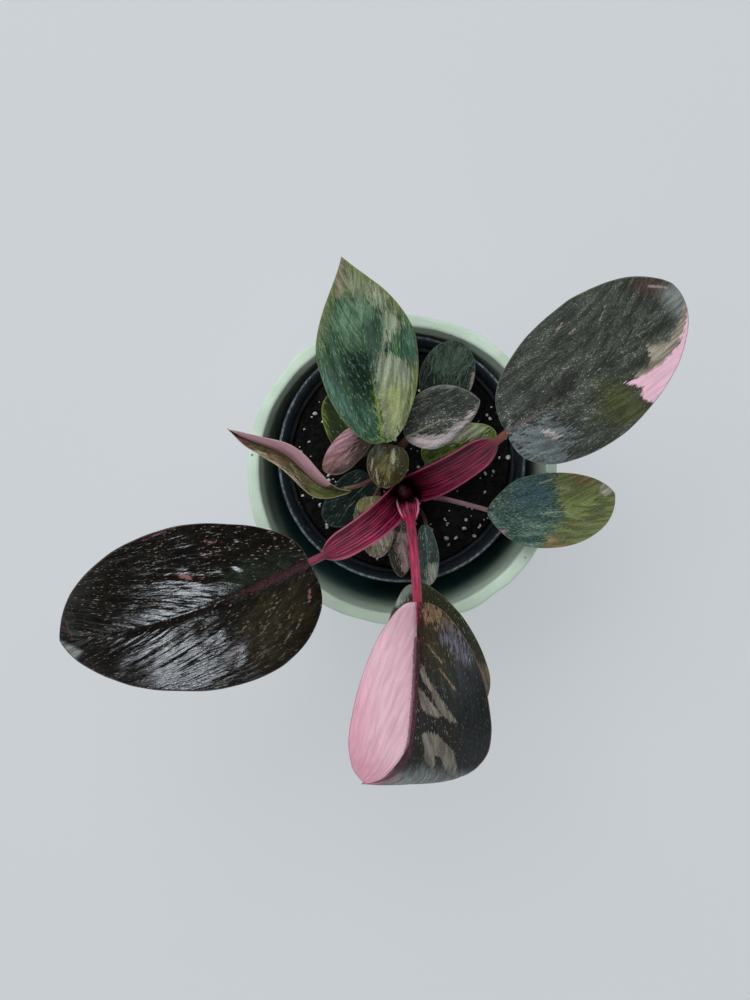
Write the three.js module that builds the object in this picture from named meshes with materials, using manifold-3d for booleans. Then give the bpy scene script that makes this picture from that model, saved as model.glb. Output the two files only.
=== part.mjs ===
// Pink princess philodendron in a nursery pot that stands inside a glazed cachepot.
// Millimetres, +Z up. The origin is the centre of the cachepot's underside.
// Seen from above with +Y up the page, the pink leaf points down the page.
import * as THREE from "three";
import { mergeVertices } from "three/addons/utils/BufferGeometryUtils.js";
import Module from "manifold-3d";

const wasm = await Module();
wasm.setup();

// ---- driving dimensions ----
const GAP = 0.3; // air left between two pieces that touch
const BLADE_THICKNESS = 0.8;
const WING_THICKNESS = 0.9; // the thin edge of a leaf sheath
const STEM_DEPTH = 18; // how deep a stem stands in the soil

const CACHEPOT = { height: 118, radius: 65.4, wall: 5.1, floor: 6, facet: 10, dent: 0.8 };
const NURSERY = { height: 99, radius: 53.4, base: 38, wall: 1.2, lip: 2.6, collar: 12, offset: 5.2 };
const DRAINS = { count: 6, radius: 4, reach: 26 };
const SOIL = { top: 93, uneven: 1.3 };
const SIDES = { pot: 40, soil: 28, drain: 12, stem: 12, stalk: 8, sheath: 14 };

const STEMS = {
  main: { foot: [2, -9], top: [0.6, -9.4, 136], radius: 4.0, taper: 0.7 },
  second: { foot: [-6, 1.4], top: [-5.6, 6.4, 150], radius: 2.7, taper: 0.75 },
};

// One entry a leaf. The blade starts at `at` and runs off in direction `heading`, rising by `pitch`
// and bending down by `droop` along its length. `fold` lifts the two halves, `curl` turns the edges.
// The stalk, of radius `stalk`, leaves stem `stem` at height `from` and reaches the blade in
// direction `arrive`, climbing by `rise`. A sheath of width `wing` covers the share `sheath` of it.
const LEAVES = {
  left_dark: {
    at: [-36, -35.6, 188], length: 101.5, width: 64.2, heading: 207.5, sweep: -20, pitch: 4,
    droop: 26, late: 1.3, fold: 6, curl: -22, egg: 0.13, lop: 0.03, skew: -0.18, reach: 0.03,
    square: 0.95, tip: 0.03, neck: 0.13, stem: "main", from: 112, stalk: 1.7, sheath: 0.9,
    wing: 12.5, arrive: 203, rise: 32,
  },
  right_dark: {
    at: [36.7, 12.5, 186], length: 86, width: 52.6, heading: 26.5, sweep: 30.5, pitch: 8, droop: 24,
    fold: 6, curl: -22, egg: 0.085, lop: -0.07, skew: 0.075, reach: 0.02, square: 0.82, lobe: 0.01,
    tip: 0.04, stem: "main", from: 118, stalk: 1.7, sheath: 0.9, wing: 13, arrive: 42, rise: 36,
  },
  front_pink: {
    at: [4.2, -49.7, 192], length: 79, width: 53.2, heading: -91.6, sweep: -2.7, hook: 16.5,
    pitch: 2, droop: 56, late: 2, fold: 52, open: 0.95, curl: -26, egg: -0.14, lop: -0.1, skew: 0.04,
    reach: 0.08, square: 0.65, lobe: 0, tip: 0, neck: 0.04, stem: "main", from: 125, stalk: 1.9,
    sheath: 0.4, wing: 9, arrive: -88, rise: 30,
  },
  front_lower: {
    at: [3.6, -44.8, 168], length: 70, width: 42, heading: -76, sweep: -2.4, pitch: -12, droop: 30,
    fold: 8, egg: -0.29, skew: 0.045, square: 0.76, tip: 0.03, neck: 0.4, stem: "main", from: 107,
    stalk: 1.5, sheath: 0.25, wing: 6, arrive: -88, rise: 34,
  },
  back_green: {
    at: [-8.5, 9.5, 168], length: 72, width: 39, heading: 98, sweep: 9.5, pitch: 20, droop: 14,
    fold: 12, curl: -22, egg: -0.08, skew: -0.06, square: 1.07, tip: 0.05, point: 0.6, neck: 0.2,
    stem: "second", from: 128, stalk: 1.4, arrive: 270, rise: 68,
  },
  inner_right: {
    at: [0.5, 12.1, 156], length: 33, width: 23.2, heading: 24, sweep: 5, pitch: 4, droop: 16,
    egg: 0.15, lop: -0.2, skew: 0.16, square: 1.05, neck: 0.5, stem: "second", from: 128, stalk: 1.1,
    arrive: 40, rise: 60,
  },
  inner_back: {
    at: [13.5, 24.6, 128], length: 32, width: 22.8, heading: 71, pitch: -5, droop: 16, egg: -0.03,
    square: 0.96, stem: "second", from: 106, stalk: 1, arrive: 50, rise: 24,
  },
  inner_middle: {
    at: [-5, 8.9, 158], length: 19, width: 17, heading: -102, pitch: -10, droop: 30, curl: -30,
    egg: 0.16, square: 0.84, stem: "second", from: 146, stalk: 1, arrive: 260, rise: 70,
  },
  inner_left: {
    at: [-11.8, 14.3, 148], length: 25.6, width: 13.2, heading: 211, sweep: 12, droop: 10, fold: 16,
    egg: -0.04, lop: 0.06, skew: 0.3, square: 0.86, neck: 0.2, stem: "second", from: 122, stalk: 1,
    arrive: 170, rise: 60,
  },
  curled: {
    at: [-21.1, -9.3, 150], length: 55, width: 22, heading: 156, sweep: -6, pitch: 14, roll: -13,
    fold: 68, egg: 0.1, lop: 0.22, skew: -0.1, reach: 0.05, square: 1.35, tip: 0.02, neck: 0.9,
    sway: [-1.7, -1.3], stem: "second", from: 117, stalk: 1, arrive: 190, rise: 34,
  },
  low_left: {
    at: [-15.5, 5.4, 128], length: 30, width: 18, heading: 122, droop: 10, stem: "second", from: 103,
    stalk: 0.9, arrive: 160, rise: 40,
  },
  low_shade: {
    at: [-12.7, -3.8, 116], length: 28, width: 19, heading: 223, pitch: -8, droop: 12, square: 0.7,
    stem: "second", from: 97, stalk: 0.9, arrive: 220, rise: 34,
  },
  low_front_left: {
    at: [-13.1, -11.2, 128], length: 27, width: 17, heading: -83, pitch: -8, droop: 16,
    stem: "second", from: 117, stalk: 0.9, arrive: 240, rise: 30,
  },
  low_right: {
    at: [9.3, 2.7, 122], length: 33, width: 20, heading: 24, pitch: -2, droop: 8, stem: "main",
    from: 101, stalk: 0.9, arrive: 50, rise: 34,
  },
  right_green: {
    at: [34, -17.1, 138], length: 53.6, width: 31.2, heading: -4.5, sweep: 25, pitch: 4, droop: 16,
    fold: 8, egg: -0.02, lop: 0.03, skew: -0.075, square: 0.89, lobe: 0, neck: 0.5, stem: "main",
    from: 104, stalk: 1.1, arrive: -17, rise: 24,
  },
  low_front_right: {
    at: [8.7, -23, 133], length: 26, width: 9.6, heading: -82, sweep: -8, pitch: -8, droop: 12,
    egg: -0.15, square: 0.9, stem: "main", from: 96, stalk: 0.9, arrive: -110, rise: 65,
  },
  low_front: {
    at: [-0.5, -18.8, 124], length: 28.5, width: 11.6, heading: -90, pitch: -16, droop: 10,
    stem: "main", from: 104, stalk: 0.9, arrive: -110, rise: 50,
  },
};

// What a leaf has where its entry doesn't say: `egg` widens the blade's base, `lobe` draws it back
// beside the stalk, `lop`, `skew` and `reach` make the two halves unlike, `square` fills the margin
// out, `neck` and `point` narrow its two ends, `tip` is the drip tip and `hook` bends it aside.
// `sway` is how far the midrib winds to the right, in waves of two and of three half turns.
const COMMON_LEAF = {
  sweep: 0, pitch: 0, roll: 0, droop: 0, late: 1, hook: 0, fold: 10, open: 0, curl: -20,
  egg: 0.15, lobe: 0.02, lop: 0, skew: 0, reach: 0, square: 0.8, tip: 0.04, point: 0, neck: 0,
  sheath: 0, wing: 0, sway: [0, 0],
};

const MATERIALS = {
  cachepot: { color: 0xbfd6c2, roughness: 0.55, metalness: 0 },
  nursery_pot: { color: 0x17191b, roughness: 0.45, metalness: 0 },
  soil: { color: 0x1d1813, roughness: 0.95, metalness: 0 },
  stem: { color: 0x5a3a34, roughness: 0.6, metalness: 0 },
  petiole: { color: 0x8c2f4c, roughness: 0.45, metalness: 0 },
  blade: { color: 0x2f3b2c, roughness: 0.35, metalness: 0 },
};

// ---- helpers ----
const rad = THREE.MathUtils.degToRad;
const smooth = (from, to, x) => THREE.MathUtils.smoothstep(x, from, to);
const clamp = (x) => THREE.MathUtils.clamp(x, 0, 1);
const vec = (x, y, z) => new THREE.Vector3(x, y, z);
const list = (count, make) => Array.from({ length: count }, (_, i) => make(i));

// a repeatable value from -1 to 1 for a pair of whole numbers
function jitter(i, j) {
  const s = Math.sin(i * 127.1 + j * 311.7) * 43758.5453;
  return 2 * (s - Math.floor(s)) - 1;
}

// Collects triangles, joining equal points and leaving out triangles that close up to a line.
class Skin {
  points = [];
  faces = [];
  seen = new Map();

  point(p) {
    const key = [p.x, p.y, p.z].map((c) => Math.round(c * 200)).join();
    if (!this.seen.has(key)) {
      this.seen.set(key, this.points.length / 3);
      this.points.push(p.x, p.y, p.z);
    }
    return this.seen.get(key);
  }

  triangle(a, b, c) {
    if (a !== b && b !== c && c !== a) this.faces.push(a, b, c);
  }

  quad(a, b, c, d) {
    this.triangle(a, b, c);
    this.triangle(a, c, d);
  }

  geometry() {
    const geometry = new THREE.BufferGeometry();
    geometry.setAttribute("position", new THREE.Float32BufferAttribute(this.points, 3));
    geometry.setIndex(this.faces);
    return geometry;
  }
}

// a geometry with its points joined, as a solid that can be cut
function toSolid(geometry) {
  geometry.deleteAttribute("normal");
  geometry.deleteAttribute("uv");
  const merged = mergeVertices(geometry, 1e-3);
  return new wasm.Manifold(
    new wasm.Mesh({
      numProp: 3,
      vertProperties: merged.getAttribute("position").array,
      triVerts: new Uint32Array(merged.index.array),
    }),
  );
}

// the largest body of a solid, as a geometry without slivers
function toGeometry(solid) {
  const mesh = solid.decompose().sort((a, b) => b.volume() - a.volume())[0].getMesh();
  const skin = new Skin();
  const corner = (i) => {
    const start = mesh.triVerts[i] * mesh.numProp;
    return skin.point(vec(...mesh.vertProperties.subarray(start, start + 3)));
  };
  for (let i = 0; i < mesh.triVerts.length; i += 3) {
    skin.triangle(corner(i), corner(i + 1), corner(i + 2));
  }
  return skin.geometry();
}

// A closed skin through rings of points, all with one even count, that turn anticlockwise seen from
// ahead. Each end is closed by a ladder of quads between the two halves of its ring.
function loft(rings) {
  const skin = new Skin();
  const rows = rings.map((ring) => ring.map((p) => skin.point(p)));
  const count = rows[0].length;
  for (let i = 0; i + 1 < rows.length; i++) {
    const [lower, upper] = [rows[i], rows[i + 1]];
    for (let j = 0; j < count; j++) {
      const next = (j + 1) % count;
      skin.quad(lower[j], lower[next], upper[next], upper[j]);
    }
  }
  for (let j = 0; j + 1 < count / 2; j++) {
    const rung = [j, j + 1, count - 2 - j, count - 1 - j];
    skin.quad(...rung.map((k) => rows.at(-1)[k]));
    skin.quad(...rung.reverse().map((k) => rows[0][k]));
  }
  return skin.geometry();
}

// points on a level circle
function circle(centre, radius, sides) {
  return list(sides, (j) => {
    const angle = (j / sides) * 2 * Math.PI;
    return centre.clone().add(vec(radius * Math.cos(angle), radius * Math.sin(angle), 0));
  });
}

// an upright cylinder from its lower end up, to punch a hole with
function punch(radius, height, sides) {
  const cylinder = new THREE.CylinderGeometry(radius, radius, height, sides);
  return cylinder.rotateX(Math.PI / 2).translate(0, 0, height / 2);
}

// a closed profile of [radius, height] points turned about the Z axis
function turned(profile, steps) {
  const outline = [...profile, profile[0]].map(([radius, z]) => new THREE.Vector2(radius, z));
  return new THREE.LatheGeometry(outline, steps).rotateX(Math.PI / 2);
}

// ---- cachepot ----
// Dents the outer wall in and out. Every other row of points is turned by half a step, so that the
// dents form facets.
function hammer(geometry, steps, rows, radiusAt) {
  const position = geometry.getAttribute("position");
  for (let i = 0; i < position.count; i++) {
    const [x, y, z] = [position.getX(i), position.getY(i), position.getZ(i)];
    const row = rows.findIndex((height) => Math.abs(height - z) < 0.01);
    if (row < 0 || Math.abs(Math.hypot(x, y) - radiusAt(z)) > 0.1) continue;
    const step = Math.round((Math.atan2(y, x) / (2 * Math.PI)) * steps + steps) % steps;
    const angle = ((step + (row % 2) / 2) / steps) * 2 * Math.PI;
    const radius = radiusAt(z) + CACHEPOT.dent * jitter(row, step);
    position.setXY(i, radius * Math.cos(angle), radius * Math.sin(angle));
  }
  return geometry;
}

function cachepot() {
  const { height, radius, wall, floor, facet, dent } = CACHEPOT;
  const steps = Math.round((2 * Math.PI * radius) / facet);
  const inner = radius - wall;
  const foot = 10; // the plain band at the bottom
  const shoulder = 9; // and under the rim
  // how much narrower the pot is than its rim: `taken` at its underside, less and less further up
  const narrowed = (z, taken, ease) => taken * Math.pow(1 - z / height, ease);
  const bulge = (z) => radius + 0.7 - dent / 2 - narrowed(z, 17, 1.6);
  const hollow = (z) => inner - narrowed(z, 15, 1.4);
  const count = Math.round((height - foot - shoulder) / facet) + 1;
  const rows = list(count, (i) => foot + ((height - foot - shoulder) * i) / (count - 1));
  const wallGeometry = turned(
    [
      [bulge(0) - 2, 0],
      [bulge(1.6), 1.6],
      ...rows.map((z) => [bulge(z), z]),
      [radius, height - 2],
      [radius - 1.4, height],
      [inner + 1, height],
      [inner, height - 1.2],
      ...[100, 80, 60, 40, 22].map((z) => [hollow(z), z]),
      [hollow(12) - 0.6, 12],
      [hollow(floor) - 2.2, floor],
      [0, floor],
      [0, 0],
    ],
    steps,
  );
  return hammer(wallGeometry, steps, rows, bulge);
}

// ---- nursery pot and soil, from the underside of the nursery pot up ----
const collarFoot = NURSERY.height - NURSERY.collar; // where the upright collar starts

// radius of the nursery pot's inside, `z` above its underside
function insideRadius(z) {
  const { radius, base, wall, lip } = NURSERY;
  const straight = radius - lip - wall;
  if (z >= collarFoot) return straight;
  return base - wall + ((straight - 1.4 - (base - wall)) * z) / collarFoot;
}

function nurseryPot() {
  const { height, radius, base, wall, lip } = NURSERY;
  const shell = turned(
    [
      [0, 0],
      [base - 1, 0],
      [base, 1],
      [insideRadius(collarFoot - 1) + wall, collarFoot - 1],
      [radius - lip, collarFoot],
      [radius - lip, height - 3],
      [radius - 0.4, height - 3],
      [radius, height - 2.4],
      [radius - 0.4, height],
      [radius - lip - wall + 0.4, height],
      [radius - lip - wall, height - 0.6],
      [insideRadius(collarFoot), collarFoot],
      [insideRadius(collarFoot - 1), collarFoot - 1],
      [insideRadius(wall), wall],
      [0, wall],
    ],
    SIDES.pot,
  );
  const drains = list(DRAINS.count, (i) => {
    const angle = ((i + 0.5) / DRAINS.count) * 2 * Math.PI;
    const drain = punch(DRAINS.radius, 3 * wall, SIDES.drain);
    return drain.translate(DRAINS.reach * Math.cos(angle), DRAINS.reach * Math.sin(angle), -wall);
  });
  return toGeometry(drains.reduce((pot, drain) => pot.subtract(toSolid(drain)), toSolid(shell)));
}

// the soil fills the nursery pot, with an uneven top and a plain hole for each stem
function soil(potPlace) {
  const bottom = NURSERY.wall + GAP;
  const top = SOIL.top - potPlace.z;
  const edge = (z) => insideRadius(z) - GAP * 1.5;
  const level = (z, share = 1) => circle(vec(0, 0, z), edge(z) * share, SIDES.soil);
  const uneven = (share, ring) =>
    level(top, share).map((p, j) => p.setZ(top + SOIL.uneven * jitter(ring, j)));
  const shares = [0.8, 0.6, 0.4, 0.2];
  const body = loft([level(bottom), level(top - 1), ...shares.map(uneven)]);
  const holes = Object.values(STEMS).map((stem) =>
    punch(stem.radius + GAP, STEM_DEPTH + 10, SIDES.stem).translate(
      stem.foot[0] - potPlace.x,
      stem.foot[1] - potPlace.y,
      top - STEM_DEPTH - GAP,
    ),
  );
  return toGeometry(holes.reduce((ground, hole) => ground.subtract(toSolid(hole)), toSolid(body)));
}

// ---- stems ----
const BEND = SOIL.top + 5; // below this a stem is upright

function stemCentre(stem, z) {
  const u = clamp((z - BEND) / (stem.top[2] - BEND));
  const lean = u * u * (2 - u);
  return vec(...[0, 1].map((k) => THREE.MathUtils.lerp(stem.foot[k], stem.top[k], lean)), z);
}

function stemRadius(stem, z) {
  return stem.radius * THREE.MathUtils.lerp(1, stem.taper, clamp((z - BEND) / (stem.top[2] - BEND)));
}

function stemGeometry(stem, grow = 0) {
  const cap = 3; // height of the rounded top
  const rise = stem.top[2] - cap - BEND;
  const heights = [SOIL.top - STEM_DEPTH, ...list(6, (i) => BEND + (rise * i) / 5)];
  const rings = heights.map((z) => circle(stemCentre(stem, z), stemRadius(stem, z) + grow, SIDES.stem));
  const top = stemCentre(stem, stem.top[2]).setZ(stem.top[2] + grow);
  rings.push(circle(top, stemRadius(stem, stem.top[2]) * 0.55 + grow, SIDES.stem));
  return loft(rings);
}

// ---- leaf blades, each from its own base out along +X ----
const SPINE_STEPS = 48;

// directions along (T), to the right (R) and out of the top face (N) of a blade
function bladeFrame(heading, pitch, roll = 0) {
  const T = vec(Math.cos(pitch) * Math.cos(heading), Math.cos(pitch) * Math.sin(heading), Math.sin(pitch));
  const level = vec(Math.sin(heading), -Math.cos(heading), 0);
  const up = level.clone().cross(T);
  const R = level.clone().multiplyScalar(Math.cos(roll)).addScaledVector(up, -Math.sin(roll));
  const N = up.clone().multiplyScalar(Math.cos(roll)).addScaledVector(level, Math.sin(roll));
  return { T, R, N };
}

function bladeSpine(leaf) {
  const frameAt = (s) => {
    const pitch = leaf.pitch - leaf.droop * Math.pow(s, leaf.late);
    return bladeFrame(rad(leaf.sweep * s), rad(pitch), rad(leaf.roll));
  };
  const centre = vec(0, 0, 0);
  return list(SPINE_STEPS + 1, (i) => {
    const station = { ...frameAt(i / SPINE_STEPS), C: centre.clone() };
    centre.addScaledVector(frameAt((i + 0.5) / SPINE_STEPS).T, leaf.length / SPINE_STEPS);
    return station;
  });
}

// Margin of the flat blade at t, from 0 at the stalk to 1 at the tip, as the distances out from the
// midrib and along it. side is 1 on the right half and -1 on the left.
function margin(leaf, t, side) {
  const a = Math.PI * t;
  let out = (leaf.width / 2) * (1 + leaf.lop * side) * Math.pow(Math.sin(a), leaf.square);
  out *= (1 + leaf.egg * Math.cos(a)) / (1 + (leaf.egg * leaf.egg) / 2);
  out *= 1 + side * leaf.skew * Math.cos(a);
  out *= (1 - leaf.point * smooth(0.5, 1, t)) * (1 - leaf.neck * (1 - smooth(0, 0.35, t)));
  let along = leaf.length * ((1 - leaf.tip) * 0.5 * (1 - Math.cos(a)) + leaf.tip * Math.pow(t, 10));
  along *= 1 + side * leaf.reach * Math.sin(a);
  along -= leaf.length * leaf.lobe * Math.sin(Math.min(1, t / 0.3) * Math.PI);
  return { out, along };
}

// Point of the blade on the side vein that ends at margin position t, `v` of the way out from the
// midrib and `depth` under the top face.
function bladePoint(leaf, spine, t, v, side, depth) {
  const end = margin(leaf, t, side);
  const start = Math.pow(Math.max(0, (t - 0.07) / 0.93), 1.35) * leaf.length;
  const bend = { out: end.out * 0.55, along: start + (end.along - start) * 0.3 };
  const x = 2 * v * (1 - v) * bend.out + v * v * end.out;
  const y = (1 - v) * (1 - v) * start + 2 * v * (1 - v) * bend.along + v * v * end.along;

  const share = clamp(y / leaf.length);
  const i = Math.min(Math.floor(share * SPINE_STEPS), SPINE_STEPS - 1);
  const mix = (key) => spine[i][key].clone().lerp(spine[i + 1][key], share * SPINE_STEPS - i);
  const [C, T, R, N] = ["C", "T", "R", "N"].map(mix);

  const fold = rad(leaf.fold) * (1 - leaf.open * share);
  const turn = rad(leaf.curl) / (leaf.width / 2); // radians of curl a millimetre
  const slope = fold + turn * x;
  const lateral = (Math.sin(slope) - Math.sin(fold)) / turn;
  const height = (Math.cos(fold) - Math.cos(slope)) / turn;
  const lean = slope * clamp(x / 2);
  const sway = leaf.sway[0] * Math.sin(2 * Math.PI * share) + leaf.sway[1] * Math.sin(3 * Math.PI * share);
  const aside = leaf.hook * Math.pow(t, 12) + sway;
  return C.addScaledVector(T, y - share * leaf.length)
    .addScaledVector(R, side * (lateral + depth * Math.sin(lean)) + aside)
    .addScaledVector(N, height - depth * Math.cos(lean));
}

function bladeGeometry(leaf, grow = 0) {
  const spine = bladeSpine(leaf);
  const large = leaf.length > 50;
  const rows = large ? 15 : 10;
  const half = large ? 4 : 3;
  const last = 2 * half;
  const skin = new Skin();
  const sheet = (depth) =>
    list(rows + 1, (i) =>
      list(last + 1, (j) => {
        const side = j < half ? -1 : 1;
        return skin.point(bladePoint(leaf, spine, i / rows, Math.abs(j / half - 1), side, depth));
      }),
    );
  const top = sheet(-grow);
  const under = sheet(BLADE_THICKNESS + grow);
  for (let i = 0; i < rows; i++) {
    for (let j = 0; j < last; j++) {
      // both faces are cut along the same diagonal, which mirrors about the midrib
      const corners = (face) => [face[i][j], face[i][j + 1], face[i + 1][j + 1], face[i + 1][j]];
      const turn = (face) => (j < half ? corners(face) : [...corners(face).slice(1), corners(face)[0]]);
      skin.quad(...turn(top));
      const [a, b, c, d] = turn(under);
      skin.quad(a, d, c, b);
    }
    skin.quad(top[i + 1][0], under[i + 1][0], under[i][0], top[i][0]);
    skin.quad(top[i][last], under[i][last], under[i + 1][last], top[i + 1][last]);
  }
  return skin.geometry();
}

// ---- leaf stalks ----
function stalkCurve(leaf) {
  const stem = STEMS[leaf.stem];
  const axis = stemCentre(stem, leaf.from);
  const { T, N } = bladeFrame(rad(leaf.heading), rad(leaf.pitch), rad(leaf.roll));
  const end = vec(...leaf.at).addScaledVector(T, 2.2).addScaledVector(N, -leaf.stalk - 0.2);
  const away = end.clone().sub(axis).setZ(0);
  const distance = away.length();
  away.normalize();
  const start = axis.clone().addScaledVector(away, stemRadius(stem, leaf.from) + leaf.stalk * 0.6);
  const rise = end.z - start.z;
  const arriving = bladeFrame(rad(leaf.arrive), rad(leaf.rise)).T;
  const curve = new THREE.CubicBezierCurve3(
    start,
    start.clone().addScaledVector(away, distance * 0.08).add(vec(0, 0, rise * 0.5)),
    end.clone().addScaledVector(arriving, -0.42 * Math.hypot(distance, rise)),
    end,
  );
  return { curve, away };
}

// Section of a round stalk at share s of its length, as [sideways, inward] pairs.
function roundSection(leaf, s, grow, sides) {
  const radius = leaf.stalk * (1.12 - 0.24 * s) + grow;
  return list(sides, (i) => {
    const angle = -Math.PI / 2 + ((i + 0.5 - sides / 4) / sides) * 2 * Math.PI;
    return [radius * Math.cos(angle), radius * Math.sin(angle)];
  });
}

// Section of a stalk with wings: a channel that is open towards the stem, thick in the middle.
// Its points follow those of the round section, so that one can pass into the other.
function wingedSection(leaf, s, grow, sides) {
  const half = sides / 2;
  const width = (leaf.wing / 2) * (0.82 + 0.18 * Math.sin(Math.PI * clamp(s / leaf.sheath)));
  const middle = width - leaf.stalk;
  return list(sides, (i) => {
    const inside = i >= half;
    const u = ((2 * (i % half)) / (half - 1) - 1) * (inside ? -1 : 1);
    const angle = -Math.PI / 2 + u * (rad(96) + (grow * 0.5) / width);
    const heart = Math.pow(Math.cos((u * Math.PI) / 2), 3);
    const thickness = WING_THICKNESS + (1.9 * leaf.stalk - WING_THICKNESS) * heart;
    const radius = inside ? width - thickness - grow : width + grow;
    return [radius * Math.cos(angle), middle + radius * Math.sin(angle)];
  });
}

function stalkGeometry(leaf, grow = 0) {
  const { curve, away } = stalkCurve(leaf);
  const winged = leaf.wing > 0;
  const sides = winged ? SIDES.sheath : SIDES.stalk;
  const steps = winged ? 12 : 6;
  const shares = list(steps + 1, (i) => i / steps);
  if (winged) shares.push(leaf.sheath - 0.06, leaf.sheath - 0.03, leaf.sheath);
  shares.sort((a, b) => a - b);
  const rings = shares
    .filter((s, i) => i === 0 || s - shares[i - 1] > 0.01)
    .map((s) => {
      const along = curve.getTangent(s);
      const centre = curve.getPoint(s).addScaledVector(along, grow * (Math.floor(s) - Math.floor(1 - s)));
      const across = vec(-away.y, away.x, 0);
      across.addScaledVector(along, -across.dot(along)).normalize();
      const inward = along.clone().cross(across);
      const round = roundSection(leaf, s, grow, sides);
      const channel = winged ? wingedSection(leaf, s, grow, sides) : round;
      const share = 1 - smooth(leaf.sheath - 0.06, leaf.sheath, s);
      return round.map((point, i) => {
        const [x, y] = point.map((value, k) => THREE.MathUtils.lerp(value, channel[i][k], share));
        return centre.clone().addScaledVector(across, x).addScaledVector(inward, y);
      });
    });
  return loft(rings);
}

// ---- assembly ----
function piece(name, geometry, material) {
  const mesh = new THREE.Mesh(geometry, new THREE.MeshStandardMaterial(MATERIALS[material]));
  mesh.name = name;
  return mesh;
}

const plant = new THREE.Group();
plant.name = "pink_princess_philodendron";
plant.add(piece("cachepot", cachepot(), "cachepot"));

const pot = new THREE.Group();
pot.position.set(0, NURSERY.offset, CACHEPOT.floor + GAP);
pot.add(piece("nursery_pot", nurseryPot(), "nursery_pot"));
pot.add(piece("soil", soil(pot.position), "soil"));
plant.add(pot);

for (const [name, stem] of Object.entries(STEMS)) {
  plant.add(piece(`stem_${name}`, stemGeometry(stem), "stem"));
}

// Each stalk is cut back from the stems, from its own blade and from the stalks made before it.
const neighbours = Object.values(STEMS).map((stem) => toSolid(stemGeometry(stem, GAP)));
for (const [name, entry] of Object.entries(LEAVES)) {
  const leaf = { ...COMMON_LEAF, ...entry };
  const blade = piece(`blade_${name}`, bladeGeometry(leaf), "blade");
  blade.position.set(...leaf.at);
  blade.rotation.z = rad(leaf.heading);
  blade.updateMatrix();

  const bladeRoom = toSolid(bladeGeometry(leaf, GAP).applyMatrix4(blade.matrix));
  const whole = toSolid(stalkGeometry(leaf));
  const stalk = [...neighbours, bladeRoom].reduce((body, cutter) => body.subtract(cutter), whole);
  neighbours.push(toSolid(stalkGeometry(leaf, GAP * 1.8)));
  plant.add(blade, piece(`petiole_${name}`, toGeometry(stalk), "petiole"));
}

export default plant;
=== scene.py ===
"""Pink princess philodendron in a black nursery pot that stands in a glazed cachepot.

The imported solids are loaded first. Each operator then makes one piece, or a group of like pieces,
and the last one makes the studio. Lengths are millimetres until a mesh is made.
"""

import math

import bmesh
import bpy
import numpy as np
from bpy.props import FloatProperty, FloatVectorProperty, PointerProperty
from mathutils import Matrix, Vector


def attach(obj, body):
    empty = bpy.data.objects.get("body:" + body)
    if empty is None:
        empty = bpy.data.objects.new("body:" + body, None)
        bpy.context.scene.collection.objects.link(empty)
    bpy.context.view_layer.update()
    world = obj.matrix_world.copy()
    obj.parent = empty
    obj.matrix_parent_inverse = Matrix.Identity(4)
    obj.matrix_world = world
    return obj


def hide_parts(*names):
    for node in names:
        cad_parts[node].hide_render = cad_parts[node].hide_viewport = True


bl_info = {
    "name": "Potted philodendron",
    "version": (1, 0, 0),
    "blender": (4, 5, 0),
    "location": "3D View > Sidebar > Plant",
    "description": "Makes a variegated philodendron in its two pots around the packed solids",
    "category": "Add Mesh",
}

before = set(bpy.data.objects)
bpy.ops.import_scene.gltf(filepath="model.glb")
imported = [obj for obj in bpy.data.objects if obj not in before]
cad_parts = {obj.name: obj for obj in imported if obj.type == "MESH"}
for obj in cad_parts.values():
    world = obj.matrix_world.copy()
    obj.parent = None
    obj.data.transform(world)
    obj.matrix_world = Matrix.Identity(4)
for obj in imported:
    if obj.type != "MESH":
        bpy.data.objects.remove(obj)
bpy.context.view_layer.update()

MM = 0.001
UV_NAME = "veins"
FULL_TURN = 6.28  # radians, as near as a random turn needs
POT_SIDES = 300

# ---- sizes that the solids share ----
# The cachepot's outer wall bellies out past the rim by `belly` and is `taper` narrower at the
# underside, and its hollow is `hollow_taper` narrower. Below the height `bowl` the hollow rounds
# into the floor. Dents about one `facet` across and `dent` deep cover the outer wall. They fade out
# over the height `foot` at the bottom, and get shallower over `shoulder` at the top, where the wall
# draws in to the upright `lip`.
CACHEPOT = dict(
    height=118, radius=65.4, wall=5.1, floor=6, belly=0.7, taper=17, hollow_taper=15, bowl=22,
    lip=3, rim_round=1.7, foot_round=1.6, facet=10, dent=0.8, foot=10, shoulder=9,
)
# The nursery pot's rolled lip stands out by `lip` and is `roll` high. Below its upright collar the
# wall draws in by `step` and runs down to the radius `base`.
NURSERY = dict(height=99, radius=53.4, base=38, wall=1.2, lip=2.6, roll=3.2, collar=12, step=1.4)
NURSERY_PLACE = np.array([0, 5.2, 6.3])
DRAINS = dict(count=6, radius=4, reach=26)
SOIL_TOP = 93
WING_THICKNESS = 0.9

STEMS = {
    "main": dict(foot=(2, -9), top=(0.6, -9.4, 136), radius=4.0, taper=0.7),
    "second": dict(foot=(-6, 1.4), top=(-5.6, 6.4, 150), radius=2.7, taper=0.75),
}

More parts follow.
